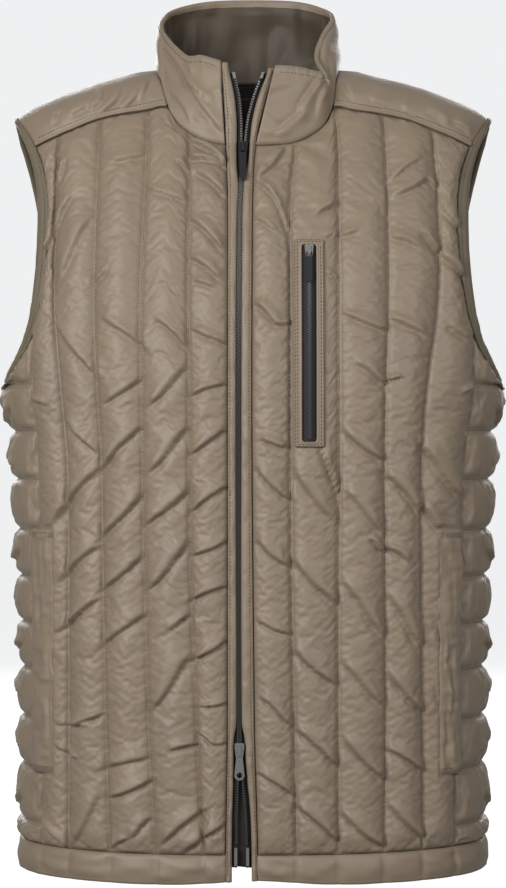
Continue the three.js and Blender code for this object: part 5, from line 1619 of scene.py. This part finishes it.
def add_pocket_zip():
    """The chest pocket's zip: black tape with two rows of teeth that mesh in the middle."""
    top = POCKET_TOP - SLOT_INSET - SEAM_GAP
    bottom = POCKET_BOTTOM + SLOT_INSET + SEAM_GAP
    z = np.linspace(top, bottom, 200)
    half = SLOT_HALF - SEAM_GAP
    left = ((-half, 0.0), (-half, 0.5), (-2.2, 0.6), (-1.6, 1.0))
    section = left + tuple((-a, level) for a, level in left[::-1])
    rings = np.stack([skin(POCKET_X + a, z, -1, POCKET_LEVEL + level) for a, level in section], axis=1)
    piece = tube("pocket_zip_cloth", rings, [zip_twill])
    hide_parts("pocket_zip")
    points = []
    faces = []
    for hand in (-1, 1):
        tooth_z = np.arange(top - 2, bottom + 2, -TOOTH_PITCH) - (TOOTH_PITCH / 2 if hand > 0 else 0)
        centre = skin(POCKET_X + hand * TOOTH_IN, tooth_z, -1, np.full(tooth_z.shape, POCKET_LEVEL + 1.3))
        tangent = unit(np.gradient(centre, axis=0))
        out = outward(centre[:, 0], centre[:, 1], centre[:, 2])
        block, face = small_blocks(centre, np.cross(tangent, out), tangent, out, TOOTH_SIZE)
        faces.append(face.reshape(-1, 4) + sum(len(p) for p in points))
        points.append(block.reshape(-1, 3))
    teeth = add_piece("pocket_zip_teeth", np.concatenate(points), faces, [oxidised_brass], flat=True)


WELT_TOP = -403
WELT_BOTTOM = -609
WELT_WIDTH = 19
WELT_INNER = {-1: -167, 1: 155}
# Levels of a welt's inner face, its edges and its bars, and where the bars' threads lie along it
WELT_LEVELS = (1.6, 2.0, 4.3)
WELT_BARS = (0.012, 0.02, 0.028, 0.972, 0.98, 0.988)


def add_welt(hand):
    """A hand pocket's welt: a soft folded strip with long upright folds and short level puckers, whose sides
    wander a little, and a sewn bar across each end."""
    side = SIDE_NAME[hand]
    along, across = np.meshgrid(np.linspace(0, 1, 161), np.linspace(0, 1, 17), indexing="ij")
    to_end = np.minimum(along, 1 - along)
    wander = fill_soft(120 + hand, along.shape, ((14, 40),), (0.9,)) * np.clip(to_end * 12, 0, 1)
    x = WELT_INNER[hand] + hand * (WELT_WIDTH * across + wander)
    z = lerp(WELT_TOP, WELT_BOTTOM, along)
    crown = np.clip(np.sin(math.pi * np.clip(across, 0.02, 0.98)), 0, 1) ** 0.5
    ends = np.clip(to_end * 30, 0, 1) ** 0.5
    upright = fill_soft(124 + hand, z.shape, ((34, 3), (20, 5)), (0.8, 0.6))
    puckers = fill_soft(128 + hand, z.shape, ((4, 8), (9, 8)), (0.5, 0.55))
    outer = skin(x, z, -1, WELT_LEVELS[1] + np.maximum(2.2 + upright + puckers, 0.5) * crown * ends)
    inner = skin(x[:, ::-4], z[:, ::-4], -1, np.full(x[:, ::-4].shape, WELT_LEVELS[0]))
    piece = tube(f"pocket_welt_{side}_cloth", np.concatenate([outer, inner], axis=1), [taffeta])
    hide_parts(f"pocket_welt_{side}")
    lines = []
    path_x = WELT_INNER[hand] + hand * WELT_WIDTH * np.linspace(-0.06, 1.06, 30)
    for share in WELT_BARS:
        path = skin(path_x, np.full(30, lerp(WELT_TOP, WELT_BOTTOM, share)), -1, np.full(30, WELT_LEVELS[2]))
        lines.append((path, outward(path[:, 0], path[:, 1], path[:, 2])))
    add_stitches(f"welt_stitches_{side}", lines)


add_underlap()
for hand in (-1, 1):
    add_tape(hand)
    add_welt(hand)
add_pocket_frame()
add_pocket_zip()
add_quilting()
add_topstitching()


def finish_node(names, material):
    """Gives CAD pieces, whose shape is right, their own finish."""
    for name in names:
        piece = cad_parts[name]
        piece.data.materials.clear()
        piece.data.materials.append(material)


finish_node(["top_stop_right", "top_stop_left", "zip_box", "zip_pin"], nickel)
finish_node(["lower_slider", "lower_pull", "pocket_slider"], nickel)
finish_node(["upper_slider", "upper_pull", "pocket_pull"], black_enamel)


# Stage, light and camera

FLOOR_Z = -800
FLOOR_REACH = 9000
BACKDROP_REACH = 16000
BACKDROP_STEPS = (49, 25)
CLIP_END = 50
WORLD_STRENGTH = 0.27


def add_floor():
    """A plain pale level floor below the vest."""
    reach = np.linspace(-FLOOR_REACH, FLOOR_REACH, 3)
    points = np.stack(np.broadcast_arrays(reach[:, None], reach[None], float(FLOOR_Z)), axis=-1)
    mesh = mesh_of("stage_floor", points, grid_quads(3, 3).tolist())
    mesh.materials.append(floor_sheet)
    floor = place_object("stage_floor", mesh)
    floor.visible_diffuse = False
    floor.visible_glossy = False


def add_backdrop():
    """A pale dome far round the vest, seen behind it, that gives it no light: a sphere by two angles."""
    columns, rows = BACKDROP_STEPS
    turn, rise = np.meshgrid(np.linspace(0, 2 * math.pi, columns),
                             np.linspace(-1.5, 1.5, rows), indexing="ij")
    place = [np.cos(turn) * np.cos(rise), np.sin(turn) * np.cos(rise), np.sin(rise)]
    points = BACKDROP_REACH * np.stack(place, axis=-1)
    mesh = mesh_of("backdrop", points, grid_quads(columns, rows)[:, ::-1].tolist())
    mesh.materials.append(backdrop_cloth)
    mesh.polygons.foreach_set("use_smooth", np.full(len(mesh.polygons), True))
    dome = place_object("backdrop", mesh)
    dome.visible_diffuse = False
    dome.visible_glossy = False
    dome.visible_transmission = False
    dome.visible_shadow = False


def turn_along(direction):
    """Turn that points a light along a direction: its own -Z goes there, with +Y upwards."""
    x, y, z = direction / np.linalg.norm(direction)
    return (math.acos(-z), 0, math.atan2(-x, y))


def add_light(name, place, target, size, power):
    """A rectangular soft light at a place that faces a target: places and size in metres, power in watts."""
    data = bpy.data.lights.new(name, "AREA")
    data.shape = "RECTANGLE"
    data.size, data.size_y = size
    data.energy = power
    light = place_object(name, data)
    light.location = place
    light.rotation_euler = turn_along(np.array(target) - np.array(place))


def add_camera():
    """A camera in front, level with the picture's middle, whose focal length gives the photograph's scale."""
    data = bpy.data.cameras.new("camera")
    data.sensor_fit = "VERTICAL"
    data.sensor_height = SENSOR
    data.lens = FOCAL_PIXELS / IMAGE[1] * SENSOR
    data.clip_end = CLIP_END
    camera = place_object("camera", data)
    camera.location = (0, -CAMERA_DISTANCE * MM, CAMERA_HEIGHT * MM)
    camera.rotation_euler = (math.pi / 2, 0, 0)
    scene.camera = camera


def add_world():
    """Even pale light from all round."""
    world = bpy.data.worlds.new("studio")
    world.use_nodes = True
    background = world.node_tree.nodes["Background"]
    background.inputs["Color"].default_value = rgb("F4F6F8")
    background.inputs["Strength"].default_value = WORLD_STRENGTH
    scene.world = world


add_camera()
add_floor()
add_backdrop()
add_world()
scene.view_settings.view_transform = "Standard"
vest_middle = (0, 0, -0.35)
front_middle = (0, 0, -0.3)
add_light("key_light", (-1.1, -1.85, 0.3), front_middle, (0.9, 0.9), 45)
add_light("fill_light", (1.35, -1.85, 0.4), front_middle, (1.0, 1.0), 21)
add_light("top_light", (0, 0.5, 2.2), vest_middle, (1.4, 1.0), 4)
add_light("back_light_right", (-0.95, 2.4, 0.6), vest_middle, (1.0, 1.4), 36)
add_light("back_light_left", (0.95, 2.4, 0.6), vest_middle, (1.0, 1.4), 24)
